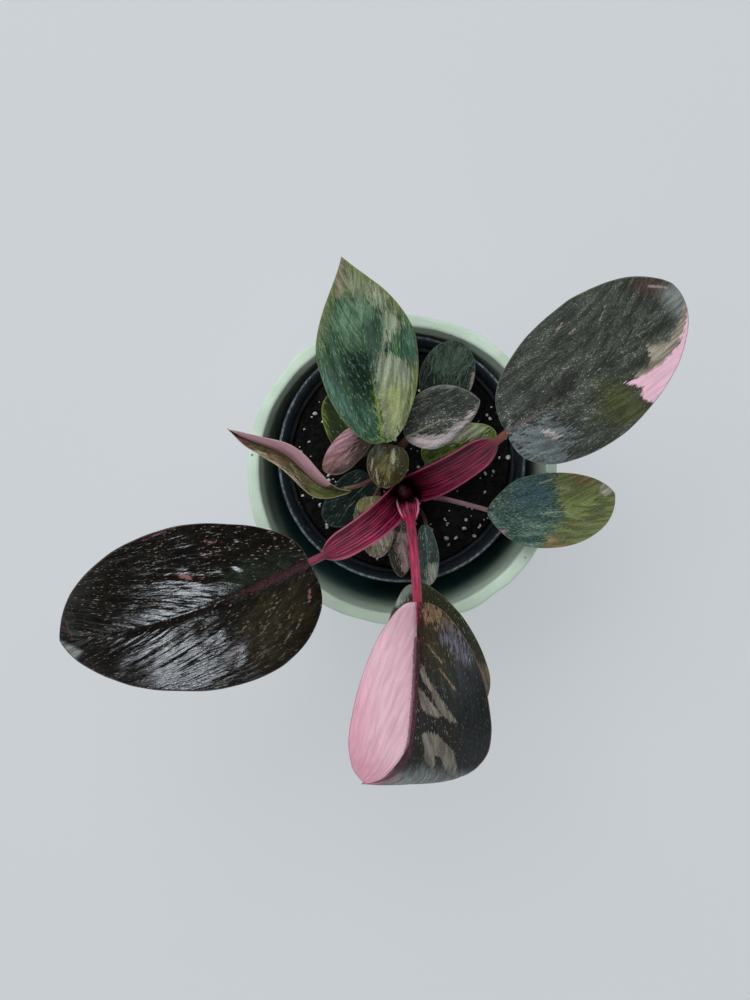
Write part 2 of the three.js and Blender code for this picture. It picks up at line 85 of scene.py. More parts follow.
# What a leaf has where its entry doesn't say. Angles are degrees.
# The midrib starts at `at` and runs `length` in direction `heading`, which turns by `sweep` on the
# way. `pitch` lifts it and `droop` bends it down, later for a greater `late`. `roll` leans the blade
# to one side, `hook` bends its tip aside and `sway` sends the midrib to and fro. `fold` lifts the
# two halves, `open` is the share of the fold that is gone at the tip, and `curl` turns the edges.
# `width` is the outline's, and a low `square` blunts it. `egg` widens it near the base and `lop`
# widens its right half. `skew` moves the widest place back in the right half and forward in the left
# one, and `reach` sends the right margin forward. `lobe` draws the margins back at the base and
# `neck` narrows them there. `tip` draws the tip out and `point` narrows it. `ripple` and `waver` are
# the waves of the edge, up and inwards.
# The stalk leaves `stem` at the height `start` with the radius `stalk`, and comes to the blade in
# direction `arrive`, climbing at the angle `rise`. `sheath` is the share of it that has a sheath,
# and `wing` is the sheath's width.
COMMON_LEAF = dict(
    sweep=0, pitch=0, roll=0, droop=0, late=1, hook=0, fold=10, open=0, curl=-20,
    egg=0.15, lobe=0.02, lop=0, skew=0, reach=0, square=0.8, tip=0.04, point=0, neck=0,
    sheath=0, wing=0, ripple=0.5, sway=(0, 0), waver=0.03,
)

LEAVES = {
    "left_dark": dict(
        at=(-36, -35.6, 188), length=101.5, width=64.2, heading=207.5, sweep=-20, pitch=4, droop=26,
        late=1.3, fold=6, curl=-22, egg=0.13, lop=0.03, skew=-0.18, reach=0.03, square=0.95, tip=0.03,
        neck=0.13, stem="main", start=112, stalk=1.7, sheath=0.9, wing=12.5, arrive=203, rise=32,
    ),
    "right_dark": dict(
        at=(36.7, 12.5, 186), length=86, width=52.6, heading=26.5, sweep=30.5, pitch=8, droop=24,
        fold=6, curl=-22, egg=0.085, lop=-0.07, skew=0.075, reach=0.02, square=0.82, lobe=0.01,
        tip=0.04, stem="main", start=118, stalk=1.7, sheath=0.9, wing=13, arrive=42, rise=36,
    ),
    "front_pink": dict(
        at=(4.2, -49.7, 192), length=79, width=53.2, heading=-91.6, sweep=-2.7, hook=16.5, pitch=2,
        droop=56, late=2, fold=52, open=0.95, curl=-26, egg=-0.14, lop=-0.1, skew=0.04, reach=0.08,
        square=0.65, lobe=0, tip=0, neck=0.04, stem="main", start=125, stalk=1.9, sheath=0.4, wing=9,
        arrive=-88, rise=30,
    ),
    "front_lower": dict(
        at=(3.6, -44.8, 168), length=70, width=42, heading=-76, sweep=-2.4, pitch=-12, droop=30,
        fold=8, egg=-0.29, skew=0.045, square=0.76, tip=0.03, neck=0.4, stem="main", start=107,
        stalk=1.5, sheath=0.25, wing=6, arrive=-88, rise=34,
    ),
    "back_green": dict(
        at=(-8.5, 9.5, 168), length=72, width=39, heading=98, sweep=9.5, pitch=20, droop=14, fold=12,
        curl=-22, egg=-0.08, skew=-0.06, square=1.07, tip=0.05, point=0.6, neck=0.2, stem="second",
        start=128, stalk=1.4, arrive=270, rise=68,
    ),
    "inner_right": dict(
        at=(0.5, 12.1, 156), length=33, width=23.2, heading=24, sweep=5, pitch=4, droop=16, egg=0.15,
        lop=-0.2, skew=0.16, square=1.05, neck=0.5, stem="second", start=128, stalk=1.1, arrive=40,
        rise=60,
    ),
    "inner_back": dict(
        at=(13.5, 24.6, 128), length=32, width=22.8, heading=71, pitch=-5, droop=16, egg=-0.03,
        square=0.96, stem="second", start=106, stalk=1, arrive=50, rise=24,
    ),
    "inner_middle": dict(
        at=(-5, 8.9, 158), length=19, width=17, heading=-102, pitch=-10, droop=30, curl=-30, egg=0.16,
        square=0.84, stem="second", start=146, stalk=1, arrive=260, rise=70,
    ),
    "inner_left": dict(
        at=(-11.8, 14.3, 148), length=25.6, width=13.2, heading=211, sweep=12, droop=10, fold=16,
        egg=-0.04, lop=0.06, skew=0.3, square=0.86, neck=0.2, stem="second", start=122, stalk=1,
        arrive=170, rise=60,
    ),
    "curled": dict(
        at=(-21.1, -9.3, 150), length=55, width=22, heading=156, sweep=-6, pitch=14, roll=-13, fold=68,
        egg=0.1, lop=0.22, skew=-0.1, reach=0.05, square=1.35, tip=0.02, neck=0.9, sway=(-1.7, -1.3),
        stem="second", start=117, stalk=1, arrive=190, rise=34,
    ),
    "low_left": dict(
        at=(-15.5, 5.4, 128), length=30, width=18, heading=122, droop=10, stem="second", start=103,
        stalk=0.9, arrive=160, rise=40,
    ),
    "low_shade": dict(
        at=(-12.7, -3.8, 116), length=28, width=19, heading=223, pitch=-8, droop=12, square=0.7,
        stem="second", start=97, stalk=0.9, arrive=220, rise=34,
    ),
    "low_front_left": dict(
        at=(-13.1, -11.2, 128), length=27, width=17, heading=-83, pitch=-8, droop=16, stem="second",
        start=117, stalk=0.9, arrive=240, rise=30,
    ),
    "low_right": dict(
        at=(9.3, 2.7, 122), length=33, width=20, heading=24, pitch=-2, droop=8, stem="main", start=101,
        stalk=0.9, arrive=50, rise=34,
    ),
    "right_green": dict(
        at=(34, -17.1, 138), length=53.6, width=31.2, heading=-4.5, sweep=25, pitch=4, droop=16,
        fold=8, egg=-0.02, lop=0.03, skew=-0.075, square=0.89, lobe=0, neck=0.5, stem="main",
        start=104, stalk=1.1, arrive=-17, rise=24,
    ),
    "low_front_right": dict(
        at=(8.7, -23, 133), length=26, width=9.6, heading=-82, sweep=-8, pitch=-8, droop=12, egg=-0.15,
        square=0.9, stem="main", start=96, stalk=0.9, arrive=-110, rise=65,
    ),
    "low_front": dict(
        at=(-0.5, -18.8, 124), length=28.5, width=11.6, heading=-90, pitch=-16, droop=10, stem="main",
        start=104, stalk=0.9, arrive=-110, rise=50,
    ),
}

# ---- colours, as 0-255 values ----
PINK = (232, 178, 192)
MAGENTA = (150, 22, 66)
WINE = (96, 50, 60)
GREEN_DARK = (36, 42, 33)
SILVER = (122, 156, 140)
LIME = (138, 154, 72)
OLIVE = (92, 98, 46)
CREAM = (184, 174, 148)
BEIGE = (156, 148, 130)
PALE = (190, 190, 176)
TAN = (132, 112, 84)
RUSSET = (112, 76, 64)
ASH = (126, 132, 128)
UNDERSIDE = (84, 72, 62)
PALE_PATCH = 200  # red value above which a patch counts as pale, and stays almost plain

PINHOLE = (66, 74, 66)
GLAZE_PAINTED_SHADE = (40, 98, 102)
PLASTIC = (24, 30, 36)
DUST = (110, 114, 116)
SCUFFS_AND_HIGHLIGHT = ((66, 78, 92), (136, 146, 154))
PORE = (120, 116, 108)
STAIN = (96, 84, 70)
BARK = (72, 30, 34)
BARK_OLIVE = (96, 84, 44)
BARK_GRAIN = (52, 30, 24)
BARK_RED_AND_SHADE = (52, 8, 22)

# How each blade is coloured. `ground` holds the two tones that the skin wavers between. `flecks` are
# tiny spots: their colour, how many there are, and how long each is for its width. `rib` is the
# midrib's colour, half its width, and the share of the blade after which it has faded. `edge` is
# the margin's colour, and `under` is mixed into the underside. `gloss` is the lowest roughness,
# `shine` the strength of reflections and `relief` the depth of the fine relief in millimetres.
# `streaks` above 1 makes the skin's streaks longer.
# Each patch has a colour, the softness of its border, how ragged that is, and outlines of
# (right, along) corners in millimetres on the flat blade, from where the midrib starts. Marks are
# small strokes of one colour: half their width, then the two ends.
LOOKS = {
    "left_dark": dict(
        ground=((13, 11, 10), (28, 23, 18)), flecks=((148, 136, 120), 0.6, 3),
        rib=((72, 42, 50), 1.8, 0.6), edge=(84, 58, 60), gloss=0.07, relief=0.3, shine=0.5,
        patches=[
            ((44, 38, 25), 6, 12, [[(-2, 20), (-3, 2), (-20, 6), (-32, 28), (-25, 36), (-8, 31)]]),
            (GREEN_DARK, 5, 10, [[(8, 31), (10, 20), (4, 1), (0, 3), (0, 30)]]),
            (ASH, 1, 1, [[(1, 103), (-5, 92), (-8, 96)]]),
        ],
        marks=[
            ((128, 116, 98), [
                (0.2, -12, 12, -15, 15), (0.2, -16, 10, -20, 14), (0.3, -20, 16, -23, 20),
                (0.2, -8, 16, -10, 20), (0.2, -14, 22, -17, 27), (0.2, -22, 26, -26, 30),
                (0.1, -26, 20, -28, 24), (0.2, -10, 28, -13, 32), (0.1, 16, 22, 18, 26),
                (0.1, 22, 50, 24, 55), (0.1, 10, 60, 12, 66), (0.1, 16, 70, 18, 76),
            ]),
            ((148, 104, 102), [
                (1.0, 14, 46, 12, 43), (0.4, 23, 33, 21, 29), (0.3, 19, 36, 17, 32),
                (0.4, -9, 4, -13, 6), (0.4, -18, 33, -21, 41),
            ]),
            (ASH, [(0.2, -10, 53, -14, 60), (0.2, 26, 31, 23, 26), (0.1, -16, 18, -19, 22)]),
            (WINE, [(0.5, 32, 47, 31, 58), (0.4, 0, 96, 7, 97)]),
        ],
    ),
    "right_dark": dict(
        ground=((46, 47, 42), (84, 90, 81)), flecks=(PALE, 0.62, 1.3), rib=((106, 96, 94), 0.9, 0.55),
        edge=(118, 118, 112), gloss=0.34, relief=0.3, streaks=0.6,
        patches=[
            ((76, 82, 50), 4, 14, [[(4, 39), (12, 47), (18, 46), (26, 50), (24, 38), (14, 30)]]),
            # painted sheen: the bluish patch by the base
            ((102, 112, 114), 3, 18, [[(1, 2), (3, 16), (10, 20), (22, 12), (14, 4), (5, -2)]]),
            ((82, 64, 58), 3, 7, [[(-12, 74), (-8, 84), (1, 88), (-1, 81), (-6, 76)]]),
            # painted sheen: the grey patch at the tip
            (ASH, 4, 3, [[(-2, 81), (2, 87), (9, 85), (9, 76), (3, 77)]]),
            ((170, 164, 160), 0.5, 3, [[(5, 11), (8, 12), (12, 15), (12, 17), (7, 14)]]),
            (BEIGE, 0.3, 3, [[
                (10, 49), (12, 57), (6, 60), (11, 66), (10, 74), (7, 84), (15, 72), (16, 50),
            ]]),
            ((228, 182, 198), 0.3, 2.4, [[
                (10, 45), (16, 49), (18, 46), (21, 47), (28, 50), (28, 66), (18, 84), (7, 87),
                (12, 76), (15, 68), (15, 60), (13, 52),
            ]]),
        ],
        marks=[
            (BEIGE, [
                (0.5, -21, 39, -22, 43), (0.4, -17, 42, -17, 45), (0.1, 1, 60, 2, 64),
                (0.2, 0, 39, 0, 42), (0.3, 10, 25, 12, 28), (0.2, -13, 55, -15, 61),
            ]),
            ((176, 150, 150), [(0.5, -7, 79, -1, 83)]),
        ],
    ),
    "front_pink": dict(
        ground=((38, 38, 30), (22, 26, 24)), flecks=(BEIGE, 0.6, 2), rib=(MAGENTA, 1.2, 0.4),
        edge=(128, 92, 96), gloss=0.36, relief=0.15, shine=0.18,
        patches=[
            ((50, 46, 27), 3, 9, [[
                (-1, 5), (-5, 7), (-13, 10), (-15, 21), (-16, 30), (-10, 26), (-3, 19),
            ]]),
            # painted sheen: the gold and the lavender patches by the base
            ((126, 104, 76), 2, 12, [[(-1, 0), (-8, 0), (-13, 4), (-16, 9), (-11, 8), (-5, 6)]]),
            ((100, 98, 108), 2.4, 10, [[
                (-14, 8), (-18, 11), (-21, 17), (-20, 20), (-15, 16), (-12, 12),
            ]]),
            ((26, 32, 32), 4, 4, [[(-14, 22), (-28, 24), (-34, 46), (-31, 62), (-20, 66), (-16, 42)]]),
            ((122, 115, 104), 0.4, 1.6, [
                [(-1, 20), (-4, 25), (-13, 37), (-17, 42), (-14, 42), (-9, 37), (-7, 32), (-3, 28)],
                [(-1, 31), (-3, 32), (-8, 37), (-11, 40), (-9, 41), (-5, 40), (-3, 38)],
                [
                    (-4, 49), (-6, 47), (-10, 48), (-16, 54), (-18, 61), (-20, 70),
                    (-16, 66), (-12, 58), (-10, 57), (-11, 66), (-7, 60),
                ],
            ]),
            # painted sheen: the grey-green patch where the tip droops
            ((134, 142, 138), 6, 4, [[
                (-2, 69), (-7, 65), (-17, 68), (-30, 66), (-28, 76), (-12, 84), (0, 84),
            ]]),
            ((240, 192, 204), 0.2, 0.5, [[
                (0.2, -4), (34, -4), (34, 84), (0, 84), (4, 69), (2, 61), (0.2, 55),
            ]]),
            ((234, 166, 184), 8, 3, [[
                (21, 28), (32, 36), (32, 68), (20, 80), (0, 88), (0, 76), (17, 56),
            ]]),
        ],
        marks=[
            ((150, 130, 104), [(0.3, -5, 15, -11, 21), (0.1, -13, 16, -16, 22), (0.3, -10, 23, -16, 30)]),
            ((80, 42, 54), [(1.4, 0, 14, 0, 76)]),
        ],
    ),
    "front_lower": dict(
        ground=((60, 62, 38), (46, 52, 36)), flecks=(BEIGE, 0.75, 2), rib=(BEIGE, 0.6, 0.8),
        edge=(96, 90, 62), gloss=0.36, relief=0.25,
        patches=[
            ((160, 170, 160), 1, 2, [[(0, -2), (8, 0), (13, 7), (8, 7), (2, 3)]]),
            (TAN, 2, 5, [[(-15, 38), (-22, 43), (-21, 60), (-16, 48)]]),
        ],
    ),
    "back_green": dict(
        ground=((34, 64, 42), (66, 104, 68)), flecks=((118, 148, 112), 1, 3.4),
        rib=((134, 152, 58), 0.7, 0.62), edge=(112, 124, 66), gloss=0.34, relief=0.4, streaks=1.2,
        patches=[
            ((98, 130, 102), 4, 7, [[(-4, 58), (4, 54), (6, 48), (-1, 38), (-6, 40), (-10, 48)]]),
            ((72, 110, 92), 3, 8, [
                [(-20, 32), (-17, 20), (-8, 5), (-4, 4), (-11, 18), (-16, 30)],
                [(-6, 18), (-2, 13), (-1, 7), (-6, 10)],
                [(16, 42), (20, 34), (19, 24), (15, 30)],
            ]),
            ((116, 124, 74), 4, 7, [
                [(0, 76), (14, 60), (22, 42), (15, 46), (7, 54), (0, 62)],
                [(0, 76), (-14, 60), (-22, 40), (-17, 42), (-8, 58), (0, 62)],
                [(14, 27), (21, 26), (14, 0), (6, 0), (11, 10)],
            ]),
            ((132, 140, 108), 4, 6, [[(-4, 61), (0, 66), (5, 61), (7, 55), (2, 56)]]),
            ((150, 158, 132), 1.5, 6, [
                [(1, 26), (5, 35), (12, 31), (15, 26), (13, 16), (7, 4), (3, 1), (1, 4)],
                [(9, 50), (12, 49), (15, 43), (10, 38), (6, 36), (8, 42)],
                [(7, 60), (12, 53), (10, 49), (7, 52)],
            ]),
            ((146, 154, 98), 4, 8, [[(2, 22), (11, 22), (13, 15), (7, 4), (3, 0), (1, 14)]]),
            ((34, 68, 46), 3, 7, [[(6, 49), (8, 44), (5, 38), (2, 33), (0, 40), (0, 46)]]),
            ((14, 38, 29), 4, 7, [[(-6, 38), (1, 34), (0, 20), (-6, 16), (-11, 28), (-10, 37)]]),
            ((158, 138, 118), 2, 4, [[(0, 76), (0, 70), (-3, 60), (-6, 58), (-4, 68)]]),
        ],
        marks=[
            ((40, 26, 20), [(0.8, -0.5, 75, -0.5, 73.5)]),
            ((128, 152, 122), [
                (0.1, -14, 50, -18, 38), (0.1, -18, 38, -18, 24), (0.1, -16, 16, -9, 4),
                (0.1, 18, 38, 18, 26), (0.1, 4, 58, 10, 50), (0, 12, 44, 15, 36),
            ]),
            ((18, 40, 30), [
                (0.2, -2, 52, -13, 31), (0.2, -13, 31, -10, 7), (0.2, -3, 57, -12, 43),
                (0.2, -12, 43, -15, 20), (0.1, -3, 45, -8, 28), (0.1, -8, 28, -6, 10),
            ]),
        ],
    ),
    "inner_right": dict(
        ground=((44, 48, 43), (84, 88, 82)), flecks=(PALE, 0.75, 1.5), rib=(BEIGE, 0.4, 0.8),
        edge=(112, 112, 106), gloss=0.36, relief=0.25, streaks=0.8,
        patches=[
            ((176, 164, 164), 0.8, 4, [[
                (-1, -1), (2, 6), (5, 12), (4, 19), (2, 30), (4, 28), (9, 16), (8, 4), (3, 0),
            ]]),
            ((108, 108, 102), 1.5, 5, [[
                (8, 2), (9, 12), (9, 18), (4, 29), (10, 28), (15, 16), (14, 3),
            ]]),
            ((120, 120, 112), 1, 6, [[(-12, 8), (-12, 20), (-8, 28), (-15, 27), (-15, 12)]]),
        ],
    ),
    "inner_back": dict(
        ground=((20, 30, 25), (40, 54, 45)), flecks=((112, 128, 110), 0.85, 4), rib=(BEIGE, 0.2, 0.6),
        edge=(70, 82, 72), gloss=0.36, relief=0.25, streaks=1.4,
        patches=[((62, 78, 65), 2, 16, [[(-9, 24), (-8, 14), (4, 14), (9, 24), (2, 30)]])],
        marks=[((150, 136, 122), [(0.7, 10, 20, 11, 13)])],
    ),
    "inner_middle": dict(
        ground=((68, 66, 26), (32, 32, 15)), flecks=(CREAM, 0.72, 1.8), rib=((92, 60, 44), 0.5, 1),
        edge=(118, 108, 66), gloss=0.34, relief=0.3,
        patches=[((116, 112, 68), 1, 8, [[(-1, 2), (-3, 8), (-1, 17), (2, 12), (5, 14), (3, 4)]])],
        marks=[(CREAM, [(0.8, -1, 2, -2, 7), (0.5, 4, 11, 2, 17), (0.4, 6, 7, 6, 12)])],
    ),
    "inner_left": dict(
        # its dark ground is partly the leaf's colour and partly painted shadow, where back_green lies over it
        ground=((46, 40, 32), (86, 68, 56)), flecks=(PINK, 0.3, 3), rib=((92, 60, 44), 0.4, 1),
        edge=(140, 104, 98), gloss=0.4, relief=0.2,
        patches=[
            ((140, 104, 104), 2, 7, [[(-2, 26), (-4, 16), (1, 8), (9, 6), (9, 26)]]),
            ((196, 148, 156), 3, 5, [[(3, 6), (10, 4), (10, 22), (3, 24), (1, 15)]]),
        ],
    ),
    "curled": dict(
        ground=((66, 68, 36), (140, 134, 96)), flecks=(CREAM, 0.75, 2.4), rib=(OLIVE, 0.5, 1),
        edge=(186, 166, 134), gloss=0.38, relief=0.2, under=(112, 106, 76),
        patches=[
            (CREAM, 0.5, 9, [[(-3, 50), (-8, 36), (-10, 24), (-8, 18), (-7, 26), (-4, 40)]]),
            (RUSSET, 1.5, 3, [[(2, 56), (0, 47), (-4, 42), (-6, 46)]]),
            (TAN, 0.5, 4, [[(-1, 37), (-1, 28), (-5, 28), (-6, 36)]]),
            ((108, 114, 66), 1.5, 6, [[(-4, 17), (0, 11), (8, 6), (8, -2), (-6, -2), (-10, 14)]]),
            ((214, 164, 176), 0.3, 1, [[(0.3, 10), (16, 10), (16, 60), (0.3, 60)]]),
        ],
        marks=[
            (CREAM, [(0.4, -2, 27, -6, 21), (0.3, -5, 29, -8, 22)]),
            ((30, 26, 26), [(1.2, 0, 54, 0, 51)]),
        ],
    ),
    "low_left": dict(
        ground=((30, 44, 24), (44, 60, 28)), flecks=(PALE, 0.3, 3), rib=(OLIVE, 0.4, 1),
        edge=(120, 132, 56), gloss=0.4, relief=0.2,
        patches=[((106, 120, 46), 1, 5, [[(-2, 31), (-5, 24), (-8, 16), (-12, 16), (-8, 30)]])],
    ),
    "low_shade": dict(
        ground=((18, 30, 28), (32, 48, 42)), flecks=((110, 128, 114), 0.8, 4), rib=(SILVER, 0.2, 0.7),
        edge=(70, 92, 84), gloss=0.4, relief=0.25,
    ),
    "low_front_left": dict(
        ground=((74, 70, 52), (142, 134, 112)), flecks=(CREAM, 0.8, 3), rib=(CREAM, 0.6, 1),
        edge=(130, 122, 96), gloss=0.4, relief=0.2,
        patches=[
            ((140, 138, 84), 1, 4, [[(7, 1), (-6, 0), (-2, 4), (6, 6)]]),
            ((164, 150, 136), 1, 7, [[(-8, 6), (0, 8), (3, 20), (-4, 24), (-9, 16)]]),
        ],
    ),
    "low_right": dict(
        ground=((58, 80, 28), (122, 142, 60)), flecks=(PALE, 0.6, 3), rib=(LIME, 0.5, 1),
        edge=(150, 160, 92), gloss=0.4, relief=0.2,
        patches=[
            ((184, 188, 150), 1, 7, [
                [(-3, 14), (-1, 22), (-2, 30), (-8, 27), (-8, 17)],
                [(6, 8), (8, 20), (4, 32), (12, 30), (14, 10)],
            ]),
        ],
    ),
    "right_green": dict(
        ground=((46, 74, 66), (108, 134, 118)), flecks=((138, 162, 148), 1.1, 1.8),
        rib=((92, 118, 98), 0.4, 0.4), edge=(108, 116, 76), gloss=0.38, relief=0.25, streaks=0.7,
        patches=[
            ((62, 92, 96), 5, 12, [[(-14, 12), (-15, 24), (-4, 28), (0, 20), (-3, 10)]]),
            ((132, 140, 82), 1.5, 9, [[
                (-20, 30), (-14, 48), (0, 57), (14, 50), (20, 28), (18, 17), (9, 26), (4, 31), (-5, 29),
            ]]),
            ((150, 164, 92), 3, 9, [[(0, 34), (-1, 44), (3, 47), (7, 44), (6, 33)]]),
            ((116, 122, 74), 1.5, 13, [[(6, 28), (14, 24), (16, 34), (8, 46), (-2, 52), (4, 38)]]),
            ((152, 126, 84), 2, 5, [
                [(-14, 35), (-11, 48), (-6, 50), (-8, 40)],
                [(17, 18), (12, 25), (17, 31)],
            ]),
            ((196, 190, 168), 0.5, 2, [[(-3, 47), (-6, 51), (-1, 55), (0, 49)]]),
        ],
        marks=[
            (CREAM, [(0.4, -11, 22, -12, 28), (0.6, -8, 31, -7, 35)]),
            ((206, 110, 140), [(0.6, 8, 6, 9, 7)]),
            ((158, 170, 150), [(0.3, 1, 21, 1.6, 32)]),
        ],
    ),
    "low_front_right": dict(
        ground=((44, 66, 62), (66, 88, 80)), flecks=(PALE, 0.7, 2.4), rib=(SILVER, 0.3, 1),
        edge=(100, 118, 104), gloss=0.4, relief=0.2,
        patches=[((152, 154, 138), 1, 5, [[(1, 17), (-5, 16), (-5, 28), (1, 28)]])],
    ),
    "low_front": dict(
        ground=((56, 54, 40), (40, 42, 34)), flecks=(CREAM, 0.7, 2), rib=(BEIGE, 0.3, 1),
        edge=(110, 92, 80), gloss=0.4, relief=0.2,
        patches=[((168, 138, 136), 0.6, 5, [[(-3, 8), (3, 7), (2, 15), (-1, 26), (-4, 24)]])],
    ),
}

# Colours of a stalk: its body, its shaded side, its ribs and its far end.
STALK_LOOKS = {
    "left_dark": ((132, 10, 54), (66, 5, 28), (196, 92, 128), (140, 50, 74)),
    "right_dark": ((104, 8, 44), (58, 4, 26), (158, 54, 88), (120, 56, 48)),
    "front_pink": ((178, 22, 74), (112, 10, 44), (232, 160, 182), (150, 22, 62)),
    "front_lower": ((110, 74, 76), (84, 40, 52), (150, 116, 114), (110, 84, 78)),
    "right_green": ((134, 104, 108), (100, 66, 74), (176, 148, 150), (120, 96, 90)),
}
PLAIN_STALK = ((96, 66, 56), (70, 44, 40), (140, 108, 92), (100, 84, 56))


# ---- numbers ----
def smooth(low, high, x):
    """0 below low and 1 above high, with an eased passage between them"""
    u = np.clip((x - low) / (high - low), 0, 1)
    return u * u * (3 - 2 * u)


def hashed(cells, seed):
    """a repeatable value from -1 to 1 for each row of three whole numbers"""
    mixed = np.sin(cells @ np.array([127.1, 311.7, 74.7]) + 19.19 * seed) * 43758.5453
    return 2 * (mixed - np.floor(mixed)) - 1


def lumps(points, size, seed):
    """a smooth random value from -1 to 1 at each point, in lumps about `size` across"""
    scaled = points / size
    cell = np.floor(scaled)
    ease = smooth(0, 1, scaled - cell)
    total = 0
    for corner in np.ndindex(2, 2, 2):
        weight = np.prod(np.where(corner, ease, 1 - ease), axis=-1)
        total = total + weight * hashed(cell + corner, seed)
    return total


def lumpy(points, layers):
    """lumps of several sizes on top of each other, from rows of height, size and seed"""
    return sum(height * lumps(points, size, seed) for height, size, seed in layers)


def unit(vectors):
    """vectors of length 1"""
    return vectors / np.maximum(np.linalg.norm(vectors, axis=-1, keepdims=True), 1e-9)


# ---- meshes ----
def new_node(tree, kind, **settings):
    """a node in a tree, with its settings"""
    made = tree.nodes.new(kind)
    for key, value in settings.items():
        setattr(made, key, value)
    return made


def linked(name, data):
    """an object that holds a mesh, a lamp or a camera, in the scene"""
    made = bpy.data.objects.new(name, data)
    bpy.context.scene.collection.objects.link(made)
    return made


def grid_faces(rows, columns, closed):
    """quads between rows of points; a closed grid joins its last column to its first"""
    i, j = np.meshgrid(np.arange(rows - 1), np.arange(columns if closed else columns - 1), indexing="ij")
    following = (j + 1) % columns
    corners = (i * columns + j, i * columns + following, (i + 1) * columns + following, (i + 1) * columns + j)
    return np.stack(corners, -1).reshape(-1, 4)


def ladder_faces(row, columns):
    """quads that close the ring of points in a row, between its two halves"""
    j = np.arange(columns // 2 - 1)
    return row * columns + np.stack((j, j + 1, columns - 2 - j, columns - 1 - j), -1)


def make_mesh(name, points, faces, uv=None, masks=None):
    """an object with a smooth mesh of those points, in millimetres, with its equal points joined"""
    mesh = bpy.data.meshes.new(name)
    mesh.from_pydata((points * MM).tolist(), [], faces.tolist())
    if uv is not None:
        layer = mesh.uv_layers.new(name=UV_NAME)
        corner = np.empty(len(mesh.loops), np.int32)
        mesh.loops.foreach_get("vertex_index", corner)
        layer.data.foreach_set("uv", uv[corner].astype(np.float32).ravel())
    for key, values in (masks or {}).items():
        attribute = mesh.attributes.new(key, "FLOAT", "POINT")
        attribute.data.foreach_set("value", values.astype(np.float32).ravel())
    join_points(mesh)
    mesh.polygons.foreach_set("use_smooth", np.ones(len(mesh.polygons), bool))
    return linked(name, mesh)


def join_points(mesh):
    """joins points that lie on each other, which closes poles, and drops the faces that this flattens"""
    work = bmesh.new()
    work.from_mesh(mesh)
    bmesh.ops.remove_doubles(work, verts=work.verts, dist=1e-6)
    bmesh.ops.dissolve_degenerate(work, edges=work.edges, dist=1e-7)
    work.to_mesh(mesh)
    work.free()


def turned(profile, steps):
    """points and quads of a closed outline of [radius, height] rows turned about the Z axis"""
    outline = np.vstack([profile, profile[:1]])
    angle = np.arange(steps) / steps * 2 * np.pi
    radius = np.broadcast_to(outline[:, :1], (len(outline), steps))
    height = np.broadcast_to(outline[:, 1:], radius.shape)
    points = np.stack((radius * np.cos(angle), radius * np.sin(angle), height), -1)
    return points, grid_faces(len(outline), steps, closed=True)


def rounded(corners, rounds, steps=6):
    """an outline with each corner rounded off by its own radius"""
    corners = np.array(corners, float)
    outline = []
    for i, (corner, reach) in enumerate(zip(corners, rounds)):
        if reach == 0:
            outline.append(corner)
            continue
        before = unit(corners[i - 1] - corner)
        after = unit(corners[(i + 1) % len(corners)] - corner)
        for u in np.linspace(0, 1, steps):
            outline.append(corner + before * reach * (1 - u) ** 2 + after * reach * u**2)
    return np.array(outline)


def finish_piece(piece, slot, *nodes):
    """puts a finished piece on the plant's one body, in place of its plain solids"""
    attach(piece, "root")
    if nodes:
        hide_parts(*nodes)


# ---- materials ----
def linear(colour):
    """a 0-255 colour as the linear values that a shader takes"""
    shares = np.array(colour) / 255
    values = np.where(shares <= 0.04045, shares / 12.92, ((shares + 0.055) / 1.055) ** 2.4)
    return (*values.tolist(), 1.0)


def whole(shares):
    """a colour setting as 0-255 values"""
    return tuple(round(255 * share) for share in shares)


def shaded(colour, share):
    """a colour with its values multiplied by a share"""
    return tuple(round(c * share) for c in colour)


def halved(colour):
    return tuple(c // 2 for c in colour)


def lifted(colour, rise):
    """a colour with each value raised, up to white"""
    return tuple(min(255, c + rise) for c in colour)


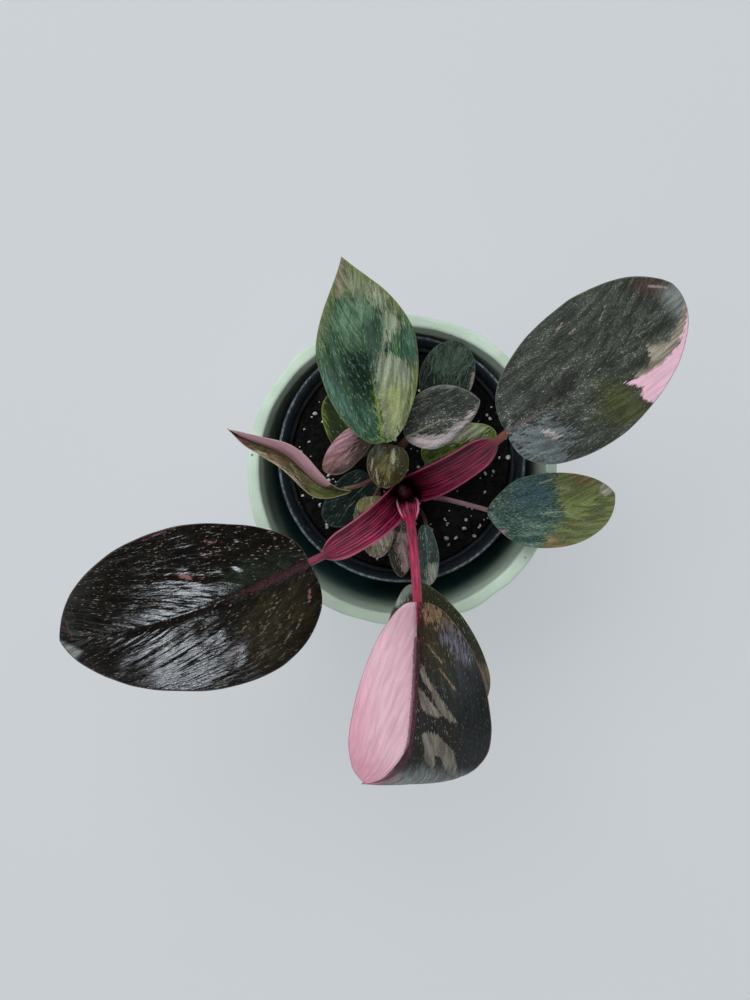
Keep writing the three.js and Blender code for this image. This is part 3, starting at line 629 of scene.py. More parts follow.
class Paint:
    """A material's nodes, put down one after another."""

    def __init__(self, name):
        self.material = bpy.data.materials.new(name)
        self.material.use_nodes = True
        self.tree = self.material.node_tree
        self.tree.nodes.clear()
        self.shader = self.node("ShaderNodeBsdfPrincipled")
        output = self.node("ShaderNodeOutputMaterial")
        self.tree.links.new(self.shader.outputs["BSDF"], output.inputs["Surface"])

    def node(self, kind, **settings):
        return new_node(self.tree, kind, **settings)

    def feed(self, socket, value):
        """links a socket to another one, or sets it"""
        if isinstance(value, bpy.types.NodeSocket):
            self.tree.links.new(value, socket)
        else:
            socket.default_value = value

    def set(self, **values):
        """feeds the shader's own sockets, with _ for a space in their names"""
        for key, value in values.items():
            self.feed(self.shader.inputs[key.replace("_", " ")], value)

    def math(self, operation, a, b):
        made = self.node("ShaderNodeMath", operation=operation)
        self.feed(made.inputs[0], a)
        self.feed(made.inputs[1], b)
        return made.outputs[0]

    def add(self, total, *others):
        """the sum of all the values"""
        for other in others:
            total = self.math("ADD", total, other)
        return total

    def times(self, a, b):
        return self.math("MULTIPLY", a, b)

    def centred(self, value, reach):
        """a value around 0.5 as one around 0, `reach` times as strong"""
        return self.times(self.math("SUBTRACT", value, 0.5), reach)

    def mix(self, share, a, b):
        """colour a, or colour b where share is 1"""
        made = self.node("ShaderNodeMix", data_type="RGBA")
        self.feed(made.inputs[0], share)
        for socket, colour in ((made.inputs[6], a), (made.inputs[7], b)):
            self.feed(socket, colour if isinstance(colour, bpy.types.NodeSocket) else linear(colour))
        return made.outputs[2]

    def step(self, value, low, high, top=1.0):
        """0 where value is below low, top where it is above high"""
        made = self.node("ShaderNodeMapRange", interpolation_type="SMOOTHSTEP")
        self.feed(made.inputs["Value"], value)
        made.inputs["From Min"].default_value = low
        made.inputs["From Max"].default_value = high
        made.inputs["To Max"].default_value = top
        return made.outputs[0]

    def attribute(self, name):
        return self.node("ShaderNodeAttribute", attribute_name=name).outputs["Fac"]

    def place(self):
        """the object's own coordinates, in metres"""
        return self.node("ShaderNodeTexCoord").outputs["Object"]

    def height(self, place):
        """the Z part of a place"""
        made = self.node("ShaderNodeSeparateXYZ")
        self.feed(made.inputs[0], place)
        return made.outputs["Z"]

    def stretch(self, place, scale, shift=(0, 0, 0)):
        made = self.node("ShaderNodeMapping")
        self.feed(made.inputs["Vector"], place)
        made.inputs["Location"].default_value = shift
        made.inputs["Scale"].default_value = scale
        return made.outputs[0]

    def noise(self, place, scale, detail=2.0, roughness=0.5, swirl=0.0):
        made = self.node("ShaderNodeTexNoise")
        made.inputs["Distortion"].default_value = swirl
        self.feed(made.inputs["Vector"], place)
        made.inputs["Scale"].default_value = scale
        made.inputs["Detail"].default_value = detail
        made.inputs["Roughness"].default_value = roughness
        return made.outputs["Fac"]

    def veins(self, shift):
        """the millimetres along and across the grain that the UV map holds"""
        return self.stretch(self.node("ShaderNodeUVMap", uv_map=UV_NAME).outputs[0], (1, 1, 1), shift)

    def fibres(self, veins, along, across, **settings):
        """noise with that many lumps in a millimetre along the grain and across it"""
        return self.noise(self.stretch(veins, (along, across, 1)), 1, **settings)

    def spots(self, place, scale):
        """distance from the nearest of many scattered points"""
        made = self.node("ShaderNodeTexVoronoi")
        self.feed(made.inputs["Vector"], place)
        made.inputs["Scale"].default_value = scale
        return made.outputs["Distance"]

    def bump(self, height, distance):
        """relief of that many millimetres"""
        made = self.node("ShaderNodeBump")
        made.inputs["Strength"].default_value = 1
        made.inputs["Distance"].default_value = distance * MM
        self.feed(made.inputs["Height"], height)
        self.feed(self.shader.inputs["Normal"], made.outputs[0])


# ---- cachepot ----
WALL_EASE = 1.6  # how strongly the narrowing of the outer wall gathers at its foot
HOLLOW_EASE = 1.4  # the same for the hollow
CALM_LIP = 0.45  # share of its dents that the wall has lost at the lip
HAND_WAVER = ((0.16, 9, 5), (0.07, 3.4, 6))
# painted shade: the glaze inside the pot is painted darker with depth below the rim
PAINTED_SHADE_DEPTHS = (12, 50)  # below the rim, where the glaze starts to look darker and where it is darkest


def narrowed(z, taken, ease):
    """how much narrower the pot is than its rim: `taken` at its underside, less and less further up"""
    return taken * (1 - np.clip(z / CACHEPOT["height"], 0, 1)) ** ease


def hammered_radius(angle, z):
    """radius of the outer wall, with its shallow hammered dents"""
    height, radius, dent = CACHEPOT["height"], CACHEPOT["radius"], CACHEPOT["dent"]
    foot, shoulder = CACHEPOT["foot"], CACHEPOT["shoulder"]
    around = round(2 * math.pi * radius / CACHEPOT["facet"])
    span = height - foot - shoulder
    rows = round(span / CACHEPOT["facet"]) + 1
    plain = radius + CACHEPOT["belly"] - dent / 2 - narrowed(z, CACHEPOT["taper"], WALL_EASE)

    def dented(row):
        """depths along a row of dents, which lies half a dent further round than the one below"""
        turn = angle / (2 * np.pi) * around - (row % 2) / 2
        step = np.floor(turn)
        share = smooth(0, 1, turn - step)
        here, following = (
            hashed(np.stack((row, (step + k) % around, np.zeros_like(row)), -1), 0) for k in (0, 1)
        )
        return here * (1 - share) + following * share

    level = np.clip((z - foot) / span * (rows - 1), 0, rows - 1)
    row = np.minimum(np.floor(level), rows - 2)
    share = smooth(0, 1, level - row)
    depth = dented(row) * (1 - share) + dented(row + 1) * share
    lip = smooth(height - shoulder, height - CACHEPOT["lip"], z)
    fade = smooth(CACHEPOT["foot_round"], foot, z) * (1 - CALM_LIP * lip)
    return plain * (1 - lip) + radius * lip + dent * depth * fade


def glaze_material(colours):
    """matte glaze with clouds in it and tiny pinholes, and shade painted in, darker deep between the pots"""
    paint = Paint("mint_glaze")
    place = paint.place()
    cloud = paint.noise(place, scale=60, detail=3)
    fine = paint.noise(place, scale=900)
    glaze = whole(colours.glaze)
    tone = paint.mix(paint.step(cloud, 0.35, 0.65), glaze, lifted(glaze, 12))
    hole = paint.step(paint.spots(place, scale=230), 0.16, 0.07)
    pinhole = paint.times(hole, paint.step(paint.noise(place, scale=150, detail=1), 0.52, 0.6))
    tone = paint.mix(paint.times(pinhole, 0.85), tone, PINHOLE)
    # painted shade: deep teal that darkens the hollow towards its floor, where the pots shade each other
    tone = paint.mix(paint.times(paint.attribute("depth"), 0.92), tone, GLAZE_PAINTED_SHADE)
    paint.set(Base_Color=tone, Roughness=paint.add(paint.times(fine, 0.2), 0.45))
    relief = paint.math("SUBTRACT", paint.times(cloud, 0.6), pinhole)
    paint.bump(paint.add(relief, paint.times(fine, 0.12)), 0.35)
    return paint.material


class PLANT_OT_cachepot(bpy.types.Operator):
    """Makes the glazed cachepot with its hammered outer wall."""

    bl_idname = "plant.cachepot"
    bl_label = "Cachepot"

    def execute(self, context):
        height, floor = CACHEPOT["height"], CACHEPOT["floor"]
        outer, lip_rows = self.profile()
        points, faces = turned(outer, POT_SIDES)
        angle = np.arctan2(points[..., 1], points[..., 0])
        rows = slice(1, lip_rows.start)
        spread = hammered_radius(angle[rows], points[rows, :, 2])
        points[rows, :, 0] = spread * np.cos(angle[rows])
        points[rows, :, 1] = spread * np.sin(angle[rows])
        # the outer half of the rim follows the dents below it
        points[lip_rows, :, :2] *= (spread[-1] / CACHEPOT["radius"])[None, :, None]
        waver = np.where(points[..., 2] > floor + 1, lumpy(points, HAND_WAVER), 0)
        outwards = np.stack((np.cos(angle), np.sin(angle), np.zeros_like(angle)), -1)
        points = points + outwards * waver[..., None]
        hollow_rows = np.arange(len(points)) > lip_rows.stop
        # how much of the painted shade each point of the hollow takes
        depth = hollow_rows[:, None] * smooth(*PAINTED_SHADE_DEPTHS, height - points[..., 2])
        piece = make_mesh("glazed_cachepot", points.reshape(-1, 3), faces, masks={"depth": depth.ravel()})
        piece.data.materials.append(glaze_material(context.scene.plant_colours))
        finish_piece(piece, "cachepot_glaze", "cachepot")
        return {"FINISHED"}

    def profile(self):
        """the pot's outline, from its foot over the rim to its floor, and the rows of the rim's outer half"""
        height, radius, floor = CACHEPOT["height"], CACHEPOT["radius"], CACHEPOT["floor"]
        inner, below_lip = radius - CACHEPOT["wall"], height - CACHEPOT["lip"]
        foot_round, rim_round, bowl_top = CACHEPOT["foot_round"], CACHEPOT["rim_round"], CACHEPOT["bowl"]
        foot = hammered_radius(np.zeros(1), np.array([foot_round]))[0]
        rise = np.linspace(foot_round, below_lip, 64)
        outer = np.stack((np.full_like(rise, foot), rise), -1)
        rim = rounded(
            [(radius, below_lip), (radius, height), (inner, height), (inner, below_lip)],
            [0, rim_round, rim_round, 0],
        )
        levels = np.linspace(below_lip - 1, bowl_top, 36)
        hollow = np.stack((inner - narrowed(levels, CACHEPOT["hollow_taper"], HOLLOW_EASE), levels), -1)
        inset, bevel, bend = 5.2, 6, 3
        corner = hollow[-1] - (inset, bowl_top - floor)
        bowl = rounded(
            [hollow[-1], corner + (inset / 2, bevel), corner, (0, floor), (0, 0)], [0, bend, bend, 0, 0]
        )
        floors = [np.linspace(start, end, 3, endpoint=False) for start, end in zip(bowl, bowl[1:])]
        underside = [(foot - 2, 0)]
        whole_profile = np.vstack([underside, outer, rim[1:-1], hollow[:-1], *floors, bowl[-1:]])
        lip_start = 1 + len(outer)
        return whole_profile, slice(lip_start, lip_start + len(rim) // 2 - 1)


# ---- nursery pot ----
def inside_radius(z):
    """radius of the nursery pot's inside, z above its underside"""
    collar_foot = NURSERY["height"] - NURSERY["collar"]
    straight = NURSERY["radius"] - NURSERY["lip"] - NURSERY["wall"]
    lower = NURSERY["base"] - NURSERY["wall"]
    below = lower + (straight - NURSERY["step"] - lower) * z / collar_foot
    return np.where(z >= collar_foot, straight, below)


def plastic_material():
    """satin black plastic with dust on it, and a pale line on the crest of its lip that is partly scuffs and
    partly a painted highlight
    """
    paint = Paint("black_plastic")
    place = paint.place()
    dust = paint.noise(place, scale=700, detail=3, roughness=0.6)
    smear = paint.noise(paint.stretch(place, (40, 40, 160)), scale=1)
    speck = paint.times(paint.step(dust, 0.56, 0.68), paint.step(smear, 0.4, 0.65))
    tone = paint.mix(paint.times(speck, 0.5), PLASTIC, DUST)
    # the pale crest line: scuffs, and a painted highlight along the lip's crest
    crest = NURSERY["height"] + NURSERY_PLACE[2]
    top = paint.step(paint.height(place), (crest - 0.35) * MM, (crest - 0.05) * MM)
    away = paint.node("ShaderNodeVectorMath", operation="LENGTH")
    paint.feed(away.inputs[0], paint.stretch(place, (1, 1, 0), (0, -NURSERY_PLACE[1] * MM, 0)))
    edge = NURSERY["radius"] - 1.2
    top = paint.times(top, paint.step(away.outputs["Value"], (edge - 0.2) * MM, (edge + 0.1) * MM))
    top = paint.times(top, paint.add(paint.times(smear, 0.8), 0.45))
    tone = paint.mix(top, tone, paint.mix(paint.step(dust, 0.42, 0.66), *SCUFFS_AND_HIGHLIGHT))
    paint.set(Base_Color=tone, Roughness=paint.add(paint.times(dust, 0.3), 0.25))
    paint.bump(dust, 0.05)
    return paint.material


class PLANT_OT_nursery_pot(bpy.types.Operator):
    """Makes the thin black nursery pot with its rolled lip and drain holes."""

    bl_idname = "plant.nursery_pot"
    bl_label = "Nursery pot"

    def execute(self, context):
        points, faces = turned(self.profile(), 160)
        pot = make_mesh("nursery_blank", points.reshape(-1, 3) + NURSERY_PLACE, faces)
        drains = self.drain_cutter()
        cut = pot.modifiers.new("drains", "BOOLEAN")
        cut.operation = "DIFFERENCE"
        cut.solver = "EXACT"
        cut.object = drains
        piece = as_plain_mesh(pot, "black_nursery_pot")
        bpy.data.objects.remove(drains)
        piece.data.materials.clear()
        piece.data.materials.append(plastic_material())
        finish_piece(piece, "nursery_plastic", "nursery_pot")
        return {"FINISHED"}

    def profile(self):
        """the pot's outline: each corner and the radius that rounds it off"""
        height, radius, wall, lip = (NURSERY[key] for key in ("height", "radius", "wall", "lip"))
        collar_foot = height - NURSERY["collar"]
        under_collar = float(inside_radius(collar_foot - 1))
        under_lip = height - NURSERY["roll"]
        inner = radius - lip - wall
        corners = (
            ((0, 0), 0),
            ((NURSERY["base"], 0), 1),
            ((under_collar + wall, collar_foot - 1), 0.4),
            ((radius - lip, collar_foot), 0.4),
            ((radius - lip, under_lip), 0.4),
            ((radius - 0.1, under_lip), 0.2),
            ((radius, height), 0.9),
            ((radius - 1.9, height), 0.8),
            ((inner, height - 3), 1),
            ((inner, collar_foot), 0.3),
            ((under_collar, collar_foot - 1), 0.3),
            ((float(inside_radius(wall)), wall), 0.8),
            ((0, wall), 0),
        )
        return rounded(*zip(*corners))

    def drain_cutter(self):
        """the cylinders that cut the drain holes"""
        reach, radius, depth = DRAINS["reach"], DRAINS["radius"], 2 * NURSERY["wall"]
        sides = 32
        turn = np.arange(sides) / sides * 2 * np.pi
        ring = np.stack((radius * np.cos(turn), radius * np.sin(turn)), -1)
        points, faces = [], []
        for i in range(DRAINS["count"]):
            angle = (i + 0.5) / DRAINS["count"] * 2 * math.pi
            centre = NURSERY_PLACE + np.array([reach * math.cos(angle), reach * math.sin(angle), 0])
            points += [np.column_stack((ring, np.full(sides, level))) + centre for level in (-depth, depth)]
            cap = [2 * i * sides + k for k in range(sides)]
            faces += [cap[::-1], [k + sides for k in cap]]
            faces += [[cap[k - 1], cap[k], cap[k] + sides, cap[k - 1] + sides] for k in range(sides)]
        mesh = bpy.data.meshes.new("drain_cutter")
        mesh.from_pydata((np.vstack(points) * MM).tolist(), [], faces)
        return linked("drain_cutter", mesh)


def as_plain_mesh(source, name):
    """the evaluated form of an object with modifiers, as an object without any"""
    bpy.context.view_layer.update()
    evaluated = source.evaluated_get(bpy.context.evaluated_depsgraph_get())
    mesh = bpy.data.meshes.new_from_object(evaluated)
    mesh.name = name
    source.modifiers.clear()
    bpy.data.objects.remove(source)
    return linked(name, mesh)


# ---- soil ----
SOIL_SIDES = 300
SOIL_RINGS = 80
AIR = 0.45  # between the soil and the nursery pot's wall
SOIL_LUMPS = ((1.1, 12, 1), (0.8, 4.5, 2), (0.55, 2.2, 3), (0.3, 1.1, 4))
CRUMB_SHAPES = ((0.6, 0.5, 0.45), (1.2, 1.0, 0.8))  # smallest and largest share of a crumb's size


def peat_material(colours):
    paint = Paint("peat")
    place = paint.place()
    crumb = paint.noise(place, scale=500, detail=4, roughness=0.65)
    patch = paint.noise(place, scale=90)
    peat = whole(colours.peat)
    tone = paint.mix(paint.step(crumb, 0.4, 0.7), halved(peat), peat)
    tone = paint.mix(paint.step(patch, 0.55, 0.7, 0.5), tone, lifted(peat, 12))
    paint.set(Base_Color=tone, Roughness=0.95, Specular_IOR_Level=0.2)
    paint.bump(crumb, 0.8)
    return paint.material


def perlite_material(colours):
    paint = Paint("perlite_grain")
    place = paint.place()
    pore = paint.noise(place, scale=1500, detail=3, roughness=0.6)
    stain = paint.noise(place, scale=200)
    tone = paint.mix(paint.step(pore, 0.5, 0.62, 0.6), whole(colours.perlite), PORE)
    tone = paint.mix(paint.step(stain, 0.5, 0.7, 0.5), tone, STAIN)
    paint.set(Base_Color=tone, Roughness=0.9)
    paint.bump(pore, 0.25)
    return paint.material


def scatter_tree(name, material):
    """Geometry Nodes that strew crumbs over the faces that the attribute `open_ground` marks"""
    tree = bpy.data.node_groups.new(name, "GeometryNodeTree")
    wanted = {
        "Ground": "Geometry", "Density": "Float", "Smallest": "Float", "Largest": "Float",
        "Roundness": "Int", "Seed": "Int",
    }
    for label, kind in wanted.items():
        tree.interface.new_socket(label, in_out="INPUT", socket_type="NodeSocket" + kind)
    tree.interface.new_socket("Crumbs", in_out="OUTPUT", socket_type="NodeSocketGeometry")

    def node(kind, **settings):
        return new_node(tree, kind, **settings)

    link = tree.links.new
    given = node("NodeGroupInput").outputs
    marked = node("GeometryNodeInputNamedAttribute", data_type="FLOAT")
    marked.inputs["Name"].default_value = "open_ground"
    density = node("ShaderNodeMath", operation="MULTIPLY")
    link(marked.outputs["Attribute"], density.inputs[0])
    link(given["Density"], density.inputs[1])
    strewn = node("GeometryNodeDistributePointsOnFaces")
    link(given["Ground"], strewn.inputs["Mesh"])
    link(density.outputs[0], strewn.inputs["Density"])
    link(given["Seed"], strewn.inputs["Seed"])

    grain = node("GeometryNodeMeshIcoSphere")
    grain.inputs["Radius"].default_value = 0.5
    link(given["Roundness"], grain.inputs["Subdivisions"])

    size = node("FunctionNodeRandomValue", data_type="FLOAT")
    link(given["Smallest"], size.inputs[2])
    link(given["Largest"], size.inputs[3])
    link(given["Seed"], size.inputs["Seed"])
    shape = node("FunctionNodeRandomValue", data_type="FLOAT_VECTOR")
    shape.inputs[0].default_value, shape.inputs[1].default_value = CRUMB_SHAPES
    scale = node("ShaderNodeVectorMath", operation="SCALE")
    link(shape.outputs[0], scale.inputs[0])
    link(size.outputs[1], scale.inputs["Scale"])
    turn = node("FunctionNodeRandomValue", data_type="FLOAT_VECTOR")
    turn.inputs[1].default_value = (FULL_TURN, FULL_TURN, FULL_TURN)

    placed = node("GeometryNodeInstanceOnPoints")
    link(strewn.outputs["Points"], placed.inputs["Points"])
    link(grain.outputs["Mesh"], placed.inputs["Instance"])
    link(turn.outputs[0], placed.inputs["Rotation"])
    link(scale.outputs[0], placed.inputs["Scale"])
    real = node("GeometryNodeRealizeInstances")
    link(placed.outputs[0], real.inputs[0])

    # each grain is knocked out of round by noise that reads its own place
    rough = node("ShaderNodeTexNoise")
    rough.inputs["Scale"].default_value = 900
    link(node("GeometryNodeInputPosition").outputs[0], rough.inputs["Vector"])
    centred = node("ShaderNodeVectorMath", operation="SUBTRACT")
    centred.inputs[1].default_value = (0.5, 0.5, 0.5)
    link(rough.outputs["Color"], centred.inputs[0])
    push = node("ShaderNodeVectorMath", operation="SCALE")
    link(centred.outputs[0], push.inputs[0])
    link(given["Smallest"], push.inputs["Scale"])
    moved = node("GeometryNodeSetPosition")
    link(real.outputs[0], moved.inputs["Geometry"])
    link(push.outputs[0], moved.inputs["Offset"])
    painted = node("GeometryNodeSetMaterial")
    painted.inputs["Material"].default_value = material
    link(moved.outputs[0], painted.inputs["Geometry"])
    link(painted.outputs[0], node("NodeGroupOutput").inputs[0])
    return tree


def strew(ground, name, material, **values):
    """crumbs of one kind on the ground, as a piece of their own"""
    holder = linked(name + "_holder", ground.data.copy())
    modifier = holder.modifiers.new("strewn", "NODES")
    modifier.node_group = scatter_tree(name + "_scatter", material)
    for item in modifier.node_group.interface.items_tree:
        key = item.name.lower()
        if item.in_out == "INPUT" and key in values:
            modifier[item.identifier] = values[key]
    return as_plain_mesh(holder, name)


class PLANT_OT_soil(bpy.types.Operator):
    """Makes the peat that fills the nursery pot, its loose crumbs and its perlite."""

    bl_idname = "plant.soil"
    bl_label = "Soil"

    def execute(self, context):
        shape, colours = context.scene.plant_shape, context.scene.plant_colours
        piece = self.ground()
        peat = peat_material(colours)
        crumbs = strew(
            piece, "peat_crumbs", peat, density=shape.crumb_density, smallest=0.0005, largest=0.0022,
            roundness=1, seed=4,
        )
        perlite = strew(
            piece, "perlite", perlite_material(colours), density=shape.perlite_density, smallest=0.0007,
            largest=shape.perlite_size, roundness=2, seed=11,
        )
        piece.data.materials.append(peat)
        finish_piece(piece, "soil", "soil")
        finish_piece(crumbs, "soil")
        finish_piece(perlite, "soil")
        return {"FINISHED"}

    def ground(self):
        """the body of soil, with the crumbly surface that its attribute marks"""
        top = SOIL_TOP - NURSERY_PLACE[2]
        bottom = NURSERY["wall"] + 0.3
        # up the axis and the wall, then in over the surface
        reach = np.concatenate([[0, 0.5, 1, 1, 1], np.linspace(1, 0, SOIL_RINGS)[1:]])
        level = np.concatenate([[bottom, bottom, bottom, top / 2, top - 1], np.full(SOIL_RINGS - 1, top)])
        angle = np.arange(SOIL_SIDES) / SOIL_SIDES * 2 * np.pi
        radius = (reach * (inside_radius(level) - AIR))[:, None]
        height = np.broadcast_to(level[:, None], (len(level), SOIL_SIDES))
        points = np.stack((radius * np.cos(angle), radius * np.sin(angle), height), -1)
        surface = np.arange(len(level)) >= 5
        calm_rim = 0.35 + 0.65 * smooth(0, 0.1, 1 - reach)
        points[..., 2] += np.where(surface[:, None], lumpy(points, SOIL_LUMPS) * calm_rim[:, None], 0)
        open_ground = np.broadcast_to((surface & (reach < 0.985))[:, None], height.shape).astype(float)
        return make_mesh(
            "peat_soil", points.reshape(-1, 3) + NURSERY_PLACE,
            grid_faces(len(level), SOIL_SIDES, closed=True), masks={"open_ground": open_ground.ravel()},
        )


# ---- stems ----
BEND = SOIL_TOP + 5  # height at which a stem starts to lean
STEM_SIDES = 32
CAP = 3  # height of a stem's rounded end


def stem_share(stem, z):
    """how far z is up a stem, from its bend to its top"""
    return np.clip((z - BEND) / (stem["top"][2] - BEND), 0, 1)


def stem_centre(stem, z):
    u = stem_share(stem, z)
    lean = u * u * (2 - u)
    return np.array([stem["foot"][k] + (stem["top"][k] - stem["foot"][k]) * lean for k in (0, 1)] + [z])


def stem_radius(stem, z):
    return stem["radius"] * (1 + (stem["taper"] - 1) * stem_share(stem, z))


def stem_material():
    """brown and olive bark that turns dark red where the sheaths stand: partly its own colour, partly painted
    shade in the hollow between them
    """
    paint = Paint("stem_bark")
    place = paint.place()
    grain = paint.noise(paint.stretch(place, (900, 900, 120)), scale=1, detail=3)
    tone = paint.mix(paint.step(paint.noise(place, scale=160), 0.4, 0.6), BARK, BARK_OLIVE)
    tone = paint.mix(paint.step(grain, 0.5, 0.7, 0.6), tone, BARK_GRAIN)
    # near-black red at the top: partly the bark's colour, partly painted shade in the hollow between the
    # sheaths
    tone = paint.mix(paint.step(paint.height(place), 0.12, 0.13), tone, BARK_RED_AND_SHADE)
    paint.set(Base_Color=tone, Roughness=0.55)
    paint.bump(grain, 0.2)
    return paint.material


class PLANT_OT_stems(bpy.types.Operator):
    """Makes the short upright stems, with a ring where each leaf stands."""

    bl_idname = "plant.stems"
    bl_label = "Stems"

    def execute(self, context):
        material = stem_material()
        for name, stem in STEMS.items():
            piece = self.stem(name, stem)
            piece.data.materials.append(material)
            finish_piece(piece, "stem", f"stem_{name}")
        return {"FINISHED"}

    def stem(self, name, stem):
        top = stem["top"][2]
        nodes = [leaf["start"] for leaf in LEAVES.values() if leaf["stem"] == name]
        body = np.linspace(SOIL_TOP - 8, top - CAP, 90)
        heights = np.concatenate([body, top - CAP * (1 - np.linspace(0.1, 1, 10))])
        angle = np.arange(STEM_SIDES) / STEM_SIDES * 2 * np.pi
        circle = np.stack((np.cos(angle), np.sin(angle), 0 * angle), -1)
        rows = []
        for z in heights:
            swell = sum(math.exp(-(((z - node + 1) / 0.9) ** 2)) for node in nodes)
            cap = math.sqrt(max(0.0, 1 - max(0.0, (z - top + CAP) / CAP) ** 2))
            radius = (stem_radius(stem, z) + 0.3 * min(swell, 1.0)) * cap
            rows.append(stem_centre(stem, z) + radius * circle)
        points = np.array(rows)
        points[..., :2] += 0.15 * lumps(points, 3, 7)[..., None]
        faces = np.vstack([
            grid_faces(len(rows), STEM_SIDES, closed=True), ladder_faces(0, STEM_SIDES)[:, ::-1]
        ])
        return make_mesh(f"{name}_stem", points.reshape(-1, 3), faces)


# ---- blades ----
SPINE_STEPS = 192
BLADE_GRIDS = ((65, 200, 46), (50, 150, 34), (0, 90, 20))  # above a length: rows, and columns a side
FULL_RELIEF_WIDTH = 45  # a narrower blade has lower relief
GROOVE_DEPTH = 0.45  # of the midrib, seen from above
KEEL_DEPTH = 1.1  # of the midrib, below the blade


def blade_frame(heading, pitch, roll):
    """directions along, to the right and out of the top face, for angles in radians"""
    cos_p, sin_p = np.cos(pitch), np.sin(pitch)
    zero = np.zeros_like(heading + pitch)
    along = np.stack((cos_p * np.cos(heading), cos_p * np.sin(heading), sin_p + zero), -1)
    level = np.stack((np.sin(heading) + zero, -np.cos(heading) + zero, zero), -1)
    up = np.cross(level, along)
    right = level * math.cos(roll) - up * math.sin(roll)
    out = up * math.cos(roll) + level * math.sin(roll)
    return along, right, out


def blade_spine(leaf):
    """stations along the midrib: place, then the directions along, to the right and up"""
    def directions(s):
        heading = np.radians(leaf["heading"] + leaf["sweep"] * s)
        pitch = np.radians(leaf["pitch"] - leaf["droop"] * s ** leaf["late"])
        return blade_frame(heading, pitch, math.radians(leaf["roll"]))

    s = np.arange(SPINE_STEPS + 1) / SPINE_STEPS
    moves = directions(s[:-1] + 0.5 / SPINE_STEPS)[0] * leaf["length"] / SPINE_STEPS
    places = np.array(leaf["at"]) + np.vstack([np.zeros(3), np.cumsum(moves, 0)])
    return np.stack([places, *directions(s)])


def margin(leaf, t, side):
    """margin of the flat blade: distance out from the midrib and along it"""
    a = np.pi * t
    out = leaf["width"] / 2 * (1 + leaf["lop"] * side) * np.sin(np.clip(a, 0, np.pi)) ** leaf["square"]
    out = out * (1 + leaf["egg"] * np.cos(a)) / (1 + leaf["egg"] ** 2 / 2)
    out = out * (1 + side * leaf["skew"] * np.cos(a))
    out = out * (1 - leaf["point"] * smooth(0.5, 1, t)) * (1 - leaf["neck"] * (1 - smooth(0, 0.35, t)))
    along = leaf["length"] * ((1 - leaf["tip"]) * 0.5 * (1 - np.cos(a)) + leaf["tip"] * t**10)
    along = along * (1 + side * leaf["reach"] * np.sin(a))
    along = along - leaf["length"] * leaf["lobe"] * np.sin(np.minimum(1, t / 0.3) * np.pi)
    return out, along


def flat_place(leaf, t, v, side):
    """distance out from the midrib and along it, on the flat blade, and the length of the side vein"""
    end_out, end_along = margin(leaf, t, side)
    start = np.maximum(0, (t - 0.07) / 0.93) ** 1.35 * leaf["length"]
    bend_out, bend_along = end_out * 0.55, start + (end_along - start) * 0.3
    x = 2 * v * (1 - v) * bend_out + v * v * end_out
    y = (1 - v) ** 2 * start + 2 * v * (1 - v) * bend_along + v * v * end_along
    return x, y, np.hypot(end_out, end_along - start)


def blade_points(leaf, t, v, side):
    """place and top normal at each t and v, and the distances out from the midrib and along it"""
    spine = blade_spine(leaf)
    x, y, _ = flat_place(leaf, t, v, side)
    share = np.clip(y / leaf["length"], 0, 1)
    stations = np.arange(SPINE_STEPS + 1) / SPINE_STEPS
    centre, along, right, out = (
        np.stack([np.interp(share, stations, track[:, k]) for k in range(3)], -1) for track in spine
    )
    fold = math.radians(leaf["fold"]) * (1 - leaf["open"] * share)
    turn = math.radians(leaf["curl"]) / (leaf["width"] / 2)
    slope = fold + turn * x
    lateral = (np.sin(slope) - np.sin(fold)) / turn
    height = (np.cos(fold) - np.cos(slope)) / turn
    lean = (slope * np.clip(x / 2, 0, 1))[..., None]
    side = np.asarray(side)[..., None]
    sway = leaf["sway"][0] * np.sin(2 * np.pi * share) + leaf["sway"][1] * np.sin(3 * np.pi * share)
    aside = side * lateral[..., None] + (leaf["hook"] * t**12 + sway)[..., None]
    place = centre + along * (y - share * leaf["length"])[..., None] + right * aside + out * height[..., None]
    normal = out * np.cos(lean) - side * right * np.sin(lean)
    return place, normal, x, y


def vein_place(leaf, x, y):
    """coordinates that follow the side veins: how far out one has run, and where it left the midrib"""
    half = leaf["width"] / 2
    lean = 0.8 + 2.2 * y / leaf["length"]
    run = x * np.sqrt(1 + (lean + 1.2 * x / half) ** 2)
    return run, 0.6 * (y - x * (lean + 0.6 * x / half))


def depth_inside(spots, corners):
    """how far each spot lies inside an outline, negative outside it"""
    corners = np.array(corners, float)
    nearest = np.full(len(spots), np.inf)
    inside = np.zeros(len(spots), bool)
    for start, end in zip(corners, np.roll(corners, -1, 0)):
        nearest = np.minimum(nearest, reach_from(spots, start, end))
        straddles = (start[1] > spots[:, 1]) != (end[1] > spots[:, 1])
        crossing = start[0] + (spots[:, 1] - start[1]) * (end[0] - start[0]) / (end[1] - start[1] or 1)
        inside ^= straddles & (spots[:, 0] < crossing)
    return np.where(inside, nearest, -nearest)


def reach_from(spots, start, end):
    """distance of each spot from a straight line between two points"""
    line = end - start
    share = np.clip((spots - start) @ line / (line @ line), 0, 1)
    return np.linalg.norm(spots - start - share[:, None] * line, axis=1)


def patch_depths(look, spots):
    """for each patch and set of marks of a blade, how far every spot lies inside it"""
    depths = []
    for *_, outlines in look.get("patches", ()):
        depths.append(np.max([depth_inside(spots, outline) for outline in outlines], axis=0))
    for _, strokes in look.get("marks", ()):
        ends = [(half, np.array(line[:2]), np.array(line[2:])) for half, *line in strokes]
        depths.append(np.max([half - reach_from(spots, start, end) for half, start, end in ends], axis=0))
    return depths


